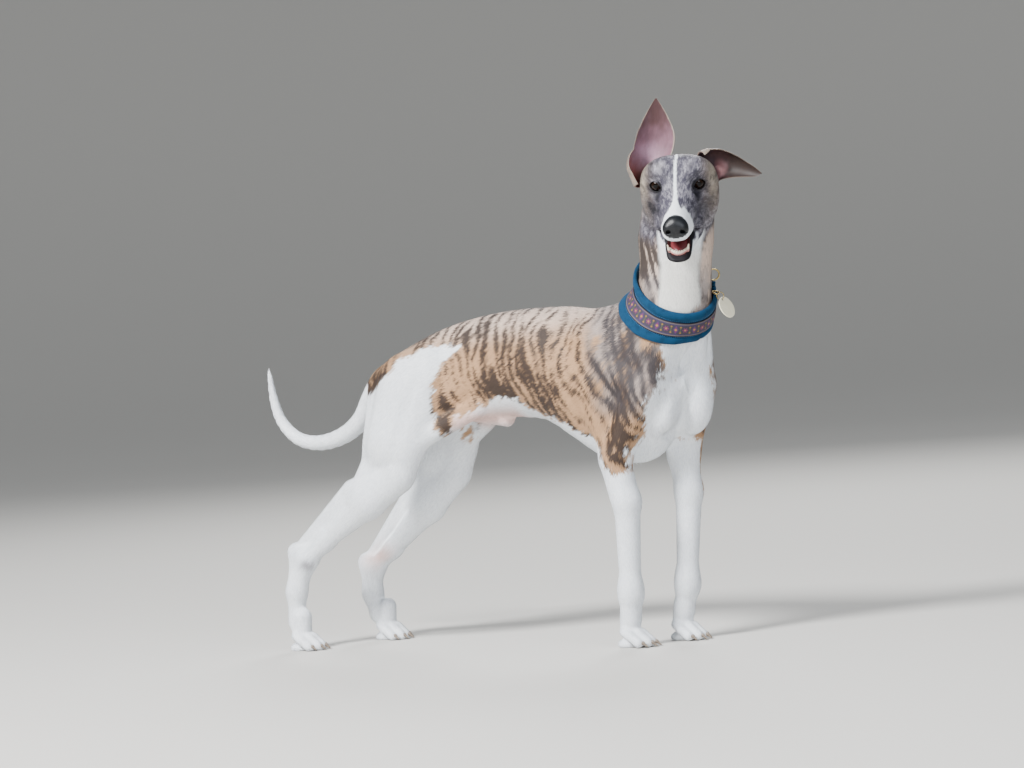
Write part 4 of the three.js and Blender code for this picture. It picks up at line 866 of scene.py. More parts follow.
def bodyMarks(p, fine=True):
    # how much of the coat at each point is brindled, and how dark its stripe is, both from 0 to 1
    x, y, z = p.T
    # the colours break along the lie of the hair, which runs back and down
    lying = np.stack([(x + z) * 0.71, y, (z - x) * 0.71], 1)
    strokes = noise(lying, (13, 5, 2.2), 37, 2)
    ragged = (noise(lying, (14, 12, 7), 5, 2) - 0.5) * 14 + (strokes - 0.5) * (14 if fine else 6)
    right = inPolygon(x, z, brindle["right"])
    left = inPolygon(x, z, brindle["left"])
    # on the inner side of each foreleg and between them the coat is white
    onForeLegs = (z < 300) & (x > -60)
    innerRight = np.where(onForeLegs, (y + 46) * 1.2, -50)
    innerLeft = np.where(onForeLegs, (58 - y) * 1.2, -50)
    fronts = ramp(x, 40, 90) * (34 - y) * 0.9
    right = np.maximum(right, innerRight)
    left = np.maximum(left, np.maximum(innerLeft, np.where((y > 0) & (z < 470), fronts, -50)))
    marked = ramp(-np.where(y < 0, right, left) - ragged, -2, 2)
    # the stripes stand across the ribs and sweep forward below them
    warp = (noise(p, (40, 50, 60), 21, 2) - 0.5) * 46
    lean = x + np.where(z > 410, 0.1, 0.45) * (z - 410) + warp
    wave = 0.5 + 0.5 * np.cos(lean * 2 * math.pi / brindle["stripe"])
    broken = noise(np.stack([lean, y, z], 1), (15, 40, 42), 31, 2)
    density = np.full(len(p), 0.05)
    for cx, cz, rx, rz, amount in brindle["darker"]:
        density = density + amount * np.exp(-((((x - cx) / rx) ** 2 + ((z - cz) / rz) ** 2) ** 1.5))
    value = wave * 0.42 + broken * 0.85 + strokes * (0.65 if fine else 0.4) + (0.05 if fine else 0.17)
    shoulder = ramp(x + 0.12 * (z - 400), -40, -10) * ramp(z, 330, 370) * (1 - ramp(z, 530, 565))
    edge = 0.16 + 0.2 * shoulder
    dark = ramp((value - 0.93 - 0.62 * (0.5 - np.clip(density, 0, 0.95))) / edge, -1, 1)
    return marked, dark, shoulder, strokes


def bodyColour(p, fine=True, covered=False):
    # covered: the whole of it is brindled, as at the back of the neck
    marked, dark, shoulder, strokes = bodyMarks(p, fine)
    if covered:
        marked = np.ones(len(p))
    x, y, z = p.T
    tone = noise(p, (60, 60, 60), 51, 2)
    back = ramp(z - x * 0.04, 455, 505)
    base = over(rgb(brindle["fawn"]), rgb(brindle["pale"]), back * 0.75)
    base = base * (0.84 + 0.2 * tone + 0.16 * strokes)[:, None]
    frost = ramp(noise(p, (16, 16, 30), 61, 2) + strokes * 0.5, 0.45, 0.8) * shoulder
    base = over(base, rgb(brindle["frost"]), frost * 0.75)
    stripe = over(rgb(brindle["dark"]), rgb(brindle["grey"]), shoulder * 0.65)
    stripe = stripe * (0.75 + 0.5 * strokes)[:, None]
    coloured = over(base, stripe, dark * 0.94)
    plain = rgb(white["coat"]) * (0.97 + 0.06 * tone)[:, None]
    # thin hair at the groin, the belly and above the hocks lets the pink skin through
    belly = np.exp(-(((z - 346) / 16) ** 2)) * (np.abs(y) < 52)
    belly = belly * ramp(-x, 170, 200) * (1 - ramp(-x, 290, 320))
    hocks = np.exp(-(((x + 535) / 30) ** 2 + ((z - 138) / 20) ** 2)) * ramp(-np.abs(y), -62, -52)
    plain = over(plain, rgb(white["skin"]), np.clip(belly * 0.75 + hocks * 0.7, 0, 1))
    spot = np.exp(-(((x + 576) / 9) ** 2 + ((z - 136) / 8) ** 2)) * (y < -70)
    plain = over(plain, rgb(white["spot"]), spot * 0.75)
    return over(plain, coloured, marked)


# The blaze holds x, from the poll to the nose, and its half width. A patch holds its y, z and x, its reach
# along each, how dark it is, and what the right side adds to that and the left side takes off, which is
# painted shade on the right cheek and painted light on the left.
face = {
    "blaze": [
        (-95, 0.5), (-40, 1.5), (-10, 1.9), (20, 2.2), (36, 2.7), (48, 3.6), (56, 5.4), (64, 9), (72, 13),
        (82, 18), (110, 30),
    ],
    "patches": [
        (17, 10, -4, 6, 9, 16, 1.0, 0), (23, 18, -10, 5, 6, 16, 0.6, 0), (27, -13, 8, 9, 9, 26, 0.9, 0),
        (25, -26, 18, 10, 12, 30, 0.8, 0.1), (36, -30, 0, 12, 18, 40, 0.7, 0.2),
        (38, -4, -6, 8, 14, 30, 0.5, 0.2), (26, -44, 22, 12, 10, 30, 0.6, 0),
    ],
    "grey": "#4b4855", "dark": "#121118", "tan": "#7d6f60", "frost": "#aeabb4", "lip": "#131115",
    # the mouth's dark red is partly painted shade
    "brow": "#bcb7bd", "fringe": "#c2b6a4", "mouth": "#4a1c1c", "nose": "#0d0f12",
}


def faceShade(q, blotches, hairs):
    # how dark the brindle of the face is: round the eyes, in patches beside them and in streaks
    x, y, z = q.T
    shade = np.zeros(len(q))
    broken = 0.45 + 0.9 * ramp(blotches + hairs * 0.5, 0.45, 0.95)
    for s in (-1, 1):
        c = eyeCentre(s)
        ring = np.hypot((x - c[0]) * 0.5, np.hypot(y - c[1], (z - c[2]) * 1.1))
        shade = np.maximum(shade, 1.0 - ramp(ring + (blotches - 0.5) * 4, 9.5, 15.5))
        for dy, dz, dx, ry, rz, rx, amount, lean in face["patches"]:
            away = ((y - s * dy) / ry) ** 2 + ((z - dz) / rz) ** 2 + ((x - dx) / rx) ** 2
            # the lean makes each patch darker on the right cheek and paler on the left: painted shade and
            # light
            shade = np.maximum(shade, (amount - s * lean) * np.exp(-away) * broken)
    streaks = ramp(noise(q, (26, 4, 6), 83, 2) + (hairs - 0.5) * 0.35, 0.5, 0.7) * 0.6
    return np.maximum(shade, streaks * (0.35 + 0.65 * ramp(np.abs(y), 14, 30)))


def blackEdges(q):
    # the rims of the lids and the lips
    x, y, z = q.T
    rim = np.zeros(len(q))
    for s, opening in zip((-1, 1), lidOpenings):
        fromEye = q - eyeCentre(s)
        gap = np.abs(np.sqrt((fromEye ** 2).sum(1)) - eyes["radius"])
        rim = np.maximum(rim, (1 - ramp(opening(q), 0.9, 2.6)) * (gap < 5) * (fromEye @ eyeOut(s) > 2))
    upper = (1 - ramp(np.abs(lipHeight(x) - z - 1.5), 2.2, 3.8)) * (x > 22) * (mouthHollow(q) < 10)
    lipBand = np.interp(x, [34, 56, 80], [1.2, 2.0, 4.4])
    lower = 1 - ramp(np.abs(z - lowerRim(x) + lipBand), lipBand, lipBand + 1.4)
    lower = ramp(x, 30, 40) * lower * (z < lipHeight(x) - 1)
    return np.maximum(rim, np.maximum(upper * 0.9, lower))


def headColour(q, fine=True):
    x, y, z = q.T
    blotches = noise(q, (9, 6, 6), 71, 2)
    specks = noise(q, (2.4, 1.5, 1.5), 73, 2)
    clouds = noise(q, (16, 16, 16), 79, 2)
    hairs = noise(q, (7, 0.9, 1.6), 89, 2)  # fine hairs of pale and dark lie mixed, in streaks up the face
    stations = np.array(face["blaze"])
    half = np.interp(x, stations[:, 0], stations[:, 1])
    blaze = ramp(half - np.abs(y + 2.2 - clouds * 2) + (specks - 0.5) * 2.4, -0.8, 0.8)
    # the lip below the nose and the sides of the muzzle's end are white
    muzzleEnd = x - 66 + 9 * ramp(y, 2, 16) + (z + 30) * 0.1 + (blotches - 0.5) * 12 - np.abs(y) * 0.2
    coloured = rgb(face["grey"]) * (0.55 + 0.4 * blotches + 0.45 * hairs)[:, None]
    coloured = over(coloured, rgb(face["frost"]), ramp(hairs * 0.6 + blotches * 0.4, 0.44, 0.66) * 0.6)
    tan = ramp(np.abs(y), 26, 50) * ramp(z, -90, -20) * 0.65 + ramp(-x, 30, 70) * 0.5
    coloured = over(coloured, rgb(face["tan"]) * (0.6 + 0.7 * hairs)[:, None], np.clip(tan, 0, 0.8))
    # a pale brow over each eye, and a pale fringe on the cheek in front of the ear
    for s, strength in ((-1, 0.75), (1, 0.35)):
        brow = np.exp(-(((y - s * 21 + 3) / 7) ** 2 + ((z - 24) / 6) ** 2 + ((x + 14) / 12) ** 2))
        coloured = over(coloured, rgb(face["brow"]), brow * strength)
        fringe = np.exp(-(((y - s * 50) / 5) ** 2 + ((z - 8) / 24) ** 2)) * 0.6
        coloured = over(coloured, rgb(face["fringe"]), fringe)
    coloured = over(coloured, rgb(face["dark"]), np.clip(faceShade(q, blotches, hairs), 0, 0.95))
    # below the line of the jaw and down the throat the coat is white, with a warm shade in its middle
    p = fromHead(q)
    throat = ramp(-(z + 60 + (x - 20) * 0.06 - np.abs(y) * 0.1) + (blotches - 0.5) * 16, -4, 4)
    plain = rgb(white["coat"]) * (0.96 + 0.06 * clouds)[:, None]
    plain = over(plain, rgb(white["throat"]), ramp(-z, 80, 120) * 0.6)
    neckBack = neckMarks(p)
    isWhite = np.maximum(np.maximum(blaze, ramp(muzzleEnd, -3, 3)), throat * (1 - neckBack))
    coloured = over(coloured, bodyColour(p, fine, True), ramp(-z, 78, 100) * neckBack)
    out = over(over(coloured, plain, isWhite), rgb(face["lip"]), blackEdges(q))
    # inside the mouth the flesh is a dark red, its darkness partly painted shade
    inMouth = (mouthHollow(q) < 1.2) & ((z > -71) | (x < 66))
    out = np.where(inMouth[:, None], rgb(face["mouth"]), out)
    return np.where((nosePad(q) < 0.8)[:, None], rgb(face["nose"]), out)


def neckMarks(p):
    # 1 on the back and the sides of the neck, 0 at the throat
    links = np.array([link[0] for link in neckLinks], float)
    cx = np.interp(p[:, 2], links[:, 2], links[:, 0])
    cy = np.interp(p[:, 2], links[:, 2], links[:, 1])
    facing = math.radians(head["yaw"])
    across = (p[:, 0] - cx) * -math.sin(facing) + (p[:, 1] - cy) * math.cos(facing)
    front = (p[:, 0] - cx) * math.cos(facing) + (p[:, 1] - cy) * math.sin(facing)
    wave = (noise(p, (14, 14, 30), 91, 2) - 0.5) * 15
    side = np.where(across < 0, -across - 19, across - 39)
    return ramp(np.maximum(side, -front - 12) + wave, -4, 4)


def setColours(piece, values):
    attribute = piece.data.color_attributes.new("coatColour", "FLOAT_COLOR", "POINT")
    rows = np.ones((len(piece.data.vertices), 4), np.float32)
    rows[:, :3] = values
    attribute.data.foreach_set("color", rows.ravel())


def addTo(tree, kind, links=(), **settings):
    # one node, its settings by name and its inputs by links of (input, output) or plain values
    node = tree.nodes.new(kind)
    for name, value in settings.items():
        setattr(node, name, value)
    for socket, value in links:
        if isinstance(value, bpy.types.NodeSocket):
            tree.links.new(value, node.inputs[socket])
        else:
            node.inputs[socket].default_value = value
    return node


def newMaterial(name, **values):
    material = bpy.data.materials.new(name)
    material.use_nodes = True
    shader = material.node_tree.nodes["Principled BSDF"]
    for socket, value in values.items():
        shader.inputs[socket.replace("_", " ")].default_value = value
    return material, material.node_tree, shader


def ownColours(tree, shader):
    # the finish takes its colour from the points of the piece
    marks = addTo(tree, "ShaderNodeAttribute", attribute_name="coatColour")
    tree.links.new(marks.outputs["Color"], shader.inputs["Base Color"])


def grained(tree, shader, grain, colours=(), span=(0.0, 1.0), bump=(), invert=False):
    # a grain tints the finish from one colour to another, and stands up by a strength and a depth in metres
    if colours:
        tint = addTo(tree, "ShaderNodeValToRGB", [("Fac", grain)])
        for element, code, position in zip(tint.color_ramp.elements, colours, span):
            element.color = linear(code)
            element.position = position
        tree.links.new(tint.outputs["Color"], shader.inputs["Base Color"])
    if bump:
        strength, depth = bump
        links = [("Height", grain), ("Strength", strength), ("Distance", depth)]
        raised = addTo(tree, "ShaderNodeBump", links, invert=invert)
        tree.links.new(raised.outputs["Normal"], shader.inputs["Normal"])


# Ears, in an upright frame at the head's origin: x out of the face, y to the dog's left, z up.
# Stations hold the centre of the back of the cup, the radius of the cup and half its opening angle. Patches
# inside hold the place and reach along the ear, the place and reach across it, the strength and the colour.
ears = {
    "right": {
        "opening": (1, 0.05, 0.05),
        "stations": [
            (-60, -42, 2, 19, 122), (-63, -46, 18, 23, 114), (-65, -47, 31, 26.5, 100),
            (-66, -40, 45, 26, 84), (-64, -34, 62, 33, 60), (-60, -31.5, 80, 38, 46),
            (-56, -31, 98, 38, 31), (-53, -31, 115, 38, 15), (-50, -31, 128, 38, 2),
        ],
        "tip": "#472f30", "middle": "#7a5a66", "base": "#6a2f29", "hair": "#9a8d80", "dusk": (0.42, 0.85),
        # the first patch, pale lilac halfway up, is a painted highlight; the second is pink skin at the rim
        "patches": [(0.4, 0.1, -0.2, 0.5, 0.75, "#b592a6"), (0.2, 0.07, -0.75, 0.25, 0.7, "#b07f83")],
    },
    # the left ear is folded, and its inside and rim hair are coloured darker than the right ear's as painted
    # shade
    "left": {
        "opening": (1, 0, -0.1),
        "stations": [
            (-60, 31, 26, 24, 122), (-66, 47, 31, 25.5, 100), (-64, 64, 33, 24, 80), (-58, 82, 30, 20, 62),
            (-52, 99, 25, 16, 46), (-46, 112, 21, 12, 34), (-42, 121, 19, 8, 8),
        ],
        "tip": "#2b201d", "middle": "#4a3334", "base": "#3d2b32", "hair": "#776a60", "dusk": (0.3, 0.5),
        "patches": [],
    },
    "thickness": 2.4, "rows": 64, "columns": 45, "yaw": 5, "roll": -4.2,
    "hollow": "#24161a", "knob": "#946a6c", "back": "#7d6e62", "backDark": "#3f393a", "backPale": "#a3968a",
# the hollow's colour is painted shade at the foot of the ear's cup
}
earAxes = np.array(
    Matrix.Rotation(math.radians(head["yaw"] + ears["yaw"]), 3, "Z")
    @ Matrix.Rotation(math.radians(ears["roll"]), 3, "X")
)


def fromEar(p):
    return np.asarray(p, float) @ earAxes.T + head["origin"]


def earSheet(side):
    rows, columns = ears["rows"], ears["columns"]
    table = curve(ears[side]["stations"], rows)
    centre, radius, half = table[:, :3], table[:, 3], np.radians(table[:, 4])
    forward = np.gradient(centre, axis=0)
    forward /= np.linalg.norm(forward, axis=1)[:, None]
    opening = np.asarray(ears[side]["opening"], float)
    out = opening - forward * (forward @ opening)[:, None]
    out /= np.linalg.norm(out, axis=1)[:, None]
    across = np.cross(forward, out)
    t = np.linspace(0, 1, rows)[:, None]
    turn = np.linspace(-1, 1, columns)[None, :]
    angle = turn * half[:, None]
    # folds of gristle stand up inside the base, and the rim curls a little towards the front
    waves = (0.5 + 0.5 * np.sin(turn * 8 + t * 14)) * (1 - turn ** 4)
    folds = 2.6 * np.exp(-((t - 0.12) / 0.12) ** 2) * waves
    if side == "left":
        folds = folds + 6 * np.exp(-(((t - 0.34) / 0.085) ** 2 + ((turn - 0.15) / 0.38) ** 2) ** 1.5)
    curl = 1.6 * np.abs(turn) ** 7 * (1 - t)
    thick = ears["thickness"] * (1 - 0.5 * t) * (1 - 0.75 * np.abs(turn) ** 8)
    sheets = []
    for raised in (-folds * 0.8, thick):
        wall = radius[:, None] + raised - curl
        spot = (
            centre[:, None]
            + out[:, None] * (radius[:, None] - wall * np.cos(angle))[..., None]
            + across[:, None] * (wall * np.sin(angle))[..., None]
        )
        sheets.append(spot.reshape(-1, 3))
    inner, outer = np.arange(2 * rows * columns).reshape(2, rows, columns)
    corners = [
        (inner[:-1, :-1], inner[:-1, 1:], inner[1:, 1:], inner[1:, :-1]),
        (outer[:-1, :-1], outer[1:, :-1], outer[1:, 1:], outer[:-1, 1:]),
        (inner[:-1, 0], inner[1:, 0], outer[1:, 0], outer[:-1, 0]),
        (inner[:-1, -1], outer[:-1, -1], outer[1:, -1], inner[1:, -1]),
        (inner[0, :-1], outer[0, :-1], outer[0, 1:], inner[0, 1:]),
        (inner[-1, :-1], inner[-1, 1:], outer[-1, 1:], outer[-1, :-1]),
    ]
    quads = np.concatenate([np.stack(four, -1).reshape(-1, 4) for four in corners])
    along, aside = [np.tile(part.ravel(), 2) for part in np.broadcast_arrays(t, turn)]
    return np.concatenate(sheets), quads, np.stack([along, aside, np.repeat([0.0, 1.0], rows * columns)], 1)


def earColour(points, place, side):
    t, turn, back = place.T
    ear = ears[side]
    blotches = noise(points, (8, 8, 14), 101, 2)
    hairs = noise(points, (1.6, 1.6, 5), 103, 2)
    inside = over(rgb(ear["middle"]), rgb(ear["tip"]), ramp(t + (blotches - 0.5) * 0.25, *ear["dusk"]))
    inside = over(inside, rgb(ear["base"]), 1 - ramp(t + (blotches - 0.5) * 0.2, 0.14, 0.32))
    # painted shade darkens the hollow at the foot of the ear
    hollow = np.exp(-(((t - 0.08) / 0.09) ** 2 + ((turn - 0.1) / 0.5) ** 2)) * (0.5 + blotches)
    inside = over(inside, rgb(ears["hollow"]), np.clip(hollow, 0, 0.85))
    # patches of colour inside the ear; the right ear's pale one is a painted highlight
    for at, reach, turnAt, turnReach, strength, code in ear["patches"]:
        cover = np.exp(-(((t - at) / reach) ** 2 + ((turn - turnAt) / turnReach) ** 2)) * strength
        inside = over(inside, rgb(code), cover)
    if side == "left":
        knob = np.hypot((t - 0.33) / 0.1, (turn - 0.25) / 0.5) + (blotches - 0.5) * 0.3
        inside = over(inside, rgb(ears["knob"]), (1 - ramp(knob, 0.5, 1.2)) * 0.85)
    inside = over(inside, rgb(ear["hair"]), ramp(np.abs(turn) + (hairs - 0.5) * 0.06, 0.88, 0.97) * 0.85)
    inside = inside * (0.82 + 0.36 * hairs)[:, None]
    outside = rgb(ears["back"]) * (0.65 + 0.6 * blotches)[:, None]
    outside = over(outside, rgb(ears["backDark"]), ramp(hairs + blotches * 0.4, 0.58, 0.85) * 0.8)
    outside = over(outside, rgb(ears["backPale"]), ramp(1 - t, 0.6, 0.95) * 0.4)
    return np.where(back[:, None] > 0.5, outside, inside)


earPieces = {}
for side in ("right", "left"):
    points, quads, place = earSheet(side)
    piece = newPiece(f"ear_{side}_skin", toFrame(fromEar(points)), quads)
    setColours(piece, earColour(points, place, side))
    earPieces[side] = piece
print("ears made")


# The collar's own measure: an angle round the neck, a height across the band and a distance out from the skin
ringAcross = point(0, 1, 0) - collar["normal"] * collar["normal"][1]
ringAcross /= np.linalg.norm(ringAcross)
ringForward = np.cross(ringAcross, collar["normal"])


def reachOut(field, centre, direction):
    # how far out the surface of a field lies from each centre
    steps = np.arange(20, 112, 2.0)
    inside = np.stack([field(centre + direction * step) < 0 for step in steps], 1)
    first = np.where(inside.all(1), len(steps) - 1, (~inside).argmax(1))
    low, high = steps[np.maximum(first - 1, 0)], steps[first]
    for _ in range(12):
        middle = (low + high) / 2
        within = field(centre + direction * middle[:, None]) < 0
        low, high = np.where(within, middle, low), np.where(within, high, middle)
    return (low + high) / 2


def bandReach(angle, height):
    angle, height = np.atleast_1d(angle).astype(float), np.atleast_1d(height).astype(float)
    direction = np.cos(angle)[:, None] * ringForward + np.sin(angle)[:, None] * ringAcross
    centre = collar["middle"] + height[:, None] * collar["normal"]
    neckReach = reachOut(neck, centre, direction) + collar["flare"]
    return direction, centre, np.minimum(reachOut(bodyShape, centre, direction), neckReach)


def onBand(angle, height, out):
    direction, centre, radius = bandReach(math.radians(angle), height)
    return (centre + direction * (radius + out)[:, None])[0]


bandSteps = 240
bandTurns = np.arange(bandSteps + 1) / bandSteps * 2 * math.pi
bandRadii = [bandReach(bandTurns, np.full(bandSteps + 1, h * collar["width"] / 2))[2] for h in (-1, 0, 1)]


def bandPoints(angle, height, out):
    # many points at once, following the skin smoothly across the band
    turn = np.mod(angle, 2 * math.pi)
    bottom, waist, top = [np.interp(turn, bandTurns, radii) for radii in bandRadii]
    t = height / collar["width"] + 0.5
    skin = (1 - t) * (1 - 2 * t) * bottom + 4 * t * (1 - t) * waist + t * (2 * t - 1) * top
    direction = np.cos(angle)[..., None] * ringForward + np.sin(angle)[..., None] * ringAcross
    return collar["middle"] + height[..., None] * collar["normal"] + direction * (skin + out)[..., None]


def bandLoop(profile, sides):
    # a closed ring with the given profile of (height, distance out), and its grid of angles and heights
    angle = np.arange(sides) / sides * 2 * math.pi
    height, out = np.asarray(profile, float).T
    turns = np.broadcast_to(angle[:, None], (sides, len(height)))
    heights = np.broadcast_to(height[None], turns.shape)
    at = np.arange(turns.size).reshape(turns.shape)
    beyond = np.roll(at, -1, 0)
    quads = np.stack([at, beyond, np.roll(beyond, -1, 1), np.roll(at, -1, 1)], -1).reshape(-1, 4)
    return turns, heights, np.broadcast_to(out[None], turns.shape), quads


def bandNoise(turns, heights, outs, size, seed, detail):
    # noise by the way round the neck, across the band and out from it
    places = np.stack([turns * collar["radius"], heights, outs], -1).reshape(-1, 3)
    return noise(places, size, seed, detail).reshape(turns.shape)


# One padded edge of the band, from the skin round its roll to the channel that the ribbon lies in
bandRows = [
    (-22, 2.2), (-24, 3.2), (-24.8, 5.4), (-23.6, 7.8), (-21, 9), (-18, 8.9), (-15.5, 7.9), (-13.6, 6.6),
    (-12.4, 5.8), (-11.2, 5.6), (-6, 5.7),
]
outerRows = curve(bandRows + [(0, 5.7)] + [(-h, out) for h, out in bandRows[::-1]], 72)
turns, heights, outs, quads = bandLoop(np.concatenate([outerRows, [(11, 2.2), (0, 2.2), (-11, 2.2)]]), 300)
puffs = bandNoise(turns, heights, outs, (11, 7, 9), 141, 2)
# between its stitches the padding stands up in small puckers
puckers = np.cos(turns * 108) * np.exp(-(((np.abs(heights) - 12.4) / 2.2) ** 2)) * 0.12
outs = outs + ((puffs - 0.5) * 0.9 + puckers) * (outs > 4)
band = newPiece("collar_band_padded", toFrame(bandPoints(turns, heights, outs).reshape(-1, 3)), quads)

# The ribbon is a flat weave with lined borders, and rosettes, lozenges and buds between them in turn
ribbon = {
    "repeats": 28, "radius": 58, "halfWidth": 11, "lift": 7.1, "foot": 6.0, "thread": 0.6, "softEdge": 0.25,
    "ground": "#3b3642", "dark": "#1c1824", "line": "#6f665e", "petal": "#6d3158", "heart": "#9c8036",
    "bud": "#8a6d30", "leaf": "#4f5340", "violet": "#46346a",
}


def ribbonColour(turn, across):
    repeat = turn / (2 * math.pi) * ribbon["repeats"]
    odd = np.floor(repeat) % 2 > 0
    size = 2 * math.pi * ribbon["radius"] / ribbon["repeats"]
    x = (repeat - np.floor(repeat) - 0.5) * size
    out = np.zeros((*x.shape, 3)) + rgb(ribbon["ground"])

    def paint(distance, code):
        # fills a figure given by the distance to its outline, negative inside
        out[:] = over(out, rgb(code), 1 - ramp(distance, -ribbon["softEdge"], ribbon["softEdge"]))

    paint(10.2 - np.abs(across), ribbon["dark"])
    paint(np.abs(np.abs(across) - 9.0) - 0.45, ribbon["line"])
    paint(np.abs(np.abs(across) - 7.7 - 0.5 * np.cos(x / size * 6 * math.pi)) - 0.3, ribbon["violet"])
    gap = size / 2 - np.abs(x)
    paint(np.hypot(gap, np.abs(across) - 4.4) - 1.25, ribbon["bud"])
    paint(np.hypot(gap * 1.6, np.abs(across) - 1.8) - 1.5, ribbon["leaf"])
    far, around = np.hypot(x, across), np.arctan2(across, x)
    petals = far - 3.2 - 0.9 * np.cos(around * 6)
    star = np.abs(x) / 2.6 + np.abs(across) / 5.2 - 1
    paint(np.where(odd, petals, star * 2), ribbon["petal"])
    paint(far - np.where(odd, 1.2, 1.5), ribbon["heart"])
    paint(np.where(odd, 9, np.abs(star - 0.25) * 2 - 0.25), ribbon["violet"])
    return out


edge = ribbon["halfWidth"]
ribbonRows = [(h, ribbon["lift"]) for h in np.linspace(-edge, edge, 56)]
ribbonRows += [(h, ribbon["foot"]) for h in (edge, 0, -edge)]
turns, heights, outs, quads = bandLoop(ribbonRows, 760)
outs = outs + (bandNoise(turns, heights * 0.5, outs, (14, 9, 9), 151, 1) - 0.5) * 0.3
ribbonPiece = newPiece("collar_ribbon_woven", toFrame(bandPoints(turns, heights, outs).reshape(-1, 3)), quads)
warp = np.floor(turns * collar["radius"] / ribbon["thread"]).astype(int)
threads = 0.93 + 0.14 * scatter(warp, np.floor(heights / ribbon["thread"]).astype(int), 0, 7)
setColours(ribbonPiece, (ribbonColour(turns, heights) * threads[..., None]).reshape(-1, 3))


def tube(path, radii, sides, closed=False):
    # a round tube along a path, either shut on itself or with its ends closed by points
    path = np.asarray(path, float)
    count = len(path)
    radii = np.broadcast_to(np.asarray(radii, float), (count,))
    if closed:
        along = np.roll(path, -1, 0) - np.roll(path, 1, 0)
    else:
        along = np.gradient(path, axis=0)
    along /= np.linalg.norm(along, axis=1)[:, None]
    side = np.cross(along[0], point(0.3, 0.5, 0.8))
    turn = np.arange(sides) / sides * 2 * math.pi
    points = []
    for i in range(count):
        side = side - along[i] * (side @ along[i])
        side /= np.linalg.norm(side)
        other = np.cross(along[i], side)
        ring = np.cos(turn)[:, None] * side + np.sin(turn)[:, None] * other
        points.extend(path[i] + ring * radii[i])
    faces = []
    for i in range(count if closed else count - 1):
        after = (i + 1) % count
        for j in range(sides):
            k = (j + 1) % sides
            faces.append((i * sides + j, i * sides + k, after * sides + k, after * sides + j))
    if not closed:
        points.extend([path[0] - along[0] * radii[0] * 0.3, path[-1] + along[-1] * radii[-1] * 0.3])
        start, last = len(points) - 2, (count - 1) * sides
        for j in range(sides):
            k = (j + 1) % sides
            faces.append((start, k, j))
            faces.append((start + 1, last + j, last + k))
    return np.array(points), faces


def circle(centre, axis, radius, steps, turns=1.0, rise=0.0):
    # points round an axis, moving along it by rise in each turn
    axis = axis / np.linalg.norm(axis)
    side = np.cross(axis, point(0.2, 0.4, 0.9))
    side /= np.linalg.norm(side)
    other = np.cross(axis, side)
    a = np.arange(steps) / (steps if rise == 0 else steps - 1) * turns * 2 * math.pi
    spots = np.cos(a)[:, None] * side + np.sin(a)[:, None] * other
    return centre + spots * radius + axis * ((a / (2 * math.pi) - turns / 2) * rise)[:, None]


# The tab with its large ring, and the small loop that the split ring and the tag hang from
sideRing = {
    "angle": 69, "height": 41.5, "out": 3.5, "radius": 8, "wire": 1.3, "axis": point(-0.57, 0.82, 0.1),
}
ringSpot = onBand(sideRing["angle"], sideRing["height"], sideRing["out"])
tabTop = ringSpot - point(0, 0, 11.8)
tabFoot = onBand(sideRing["angle"], 19, 4.2)
tabField = chain([(tabFoot, 3.6), (tabFoot + (tabTop - tabFoot) * 0.55, 3.2), (tabTop, 2.2)], 1, 2)
low, high = np.minimum(tabFoot, tabTop) - 6, np.maximum(tabFoot, tabTop) + 6
tabPoints, tabQuads = surfaceOf(tabField, [spaced((a, b, 0.7)) for a, b in zip(low, high)])
tab = newPiece("collar_tab", toFrame(tabPoints), tabQuads)
tag = {
    "hangs": point(0.371, 0.236, -0.898), "faces": point(0.928, -0.079, 0.363), "angle": 40,
    "radius": 16.5, "thickness": 1.6, "bevel": 0.35, "hole": 2.4, "inset": 3.6,
    "loopRadius": 5, "loopWire": 1.1, "splitRadius": 6, "splitWire": 0.9,
    "coils": 1.96, "coilRise": 0.95, "coilWire": 0.46,
}
hangs = tag["hangs"] / np.linalg.norm(tag["hangs"])
tagFacing = tag["faces"] / np.linalg.norm(tag["faces"])
loopTop = onBand(tag["angle"], 30, 11.7)
ringCentre = loopTop + hangs * (tag["splitRadius"] - tag["splitWire"] - tag["loopWire"] - collar["gap"])
tagCentre = ringCentre + hangs * (tag["splitRadius"] + tag["radius"] - tag["inset"])
ringAxis = np.cross(tagFacing, hangs)
ringAxis /= np.linalg.norm(ringAxis)
loopInward = bandReach(math.radians(tag["angle"]), 0)[0][0]
loopInward = loopInward - ringAxis * (loopInward @ ringAxis)
loopInward /= np.linalg.norm(loopInward)
loopCentre = loopTop - loopInward * tag["loopRadius"]
sideCircle = circle(ringSpot, sideRing["axis"], sideRing["radius"], 72)
loopCircle = circle(loopCentre, np.cross(loopInward, ringAxis), tag["loopRadius"], 60)
splitCoil = circle(ringCentre, ringAxis, tag["splitRadius"], 128, tag["coils"], tag["coilRise"])
rings = {}
for node, name, path, wire, sides, closed in (
    ("collar_ring", "collar_ring_wire", sideCircle, sideRing["wire"], 16, True),
    ("collar_loop", "collar_loop_wire", loopCircle, tag["loopWire"], 14, True),
    ("tag_ring", "tag_split_ring", splitCoil, tag["coilWire"], 12, False),
):
    spots, faces = tube(path, wire, sides, closed)
    rings[node] = newPiece(name, toFrame(spots), faces)


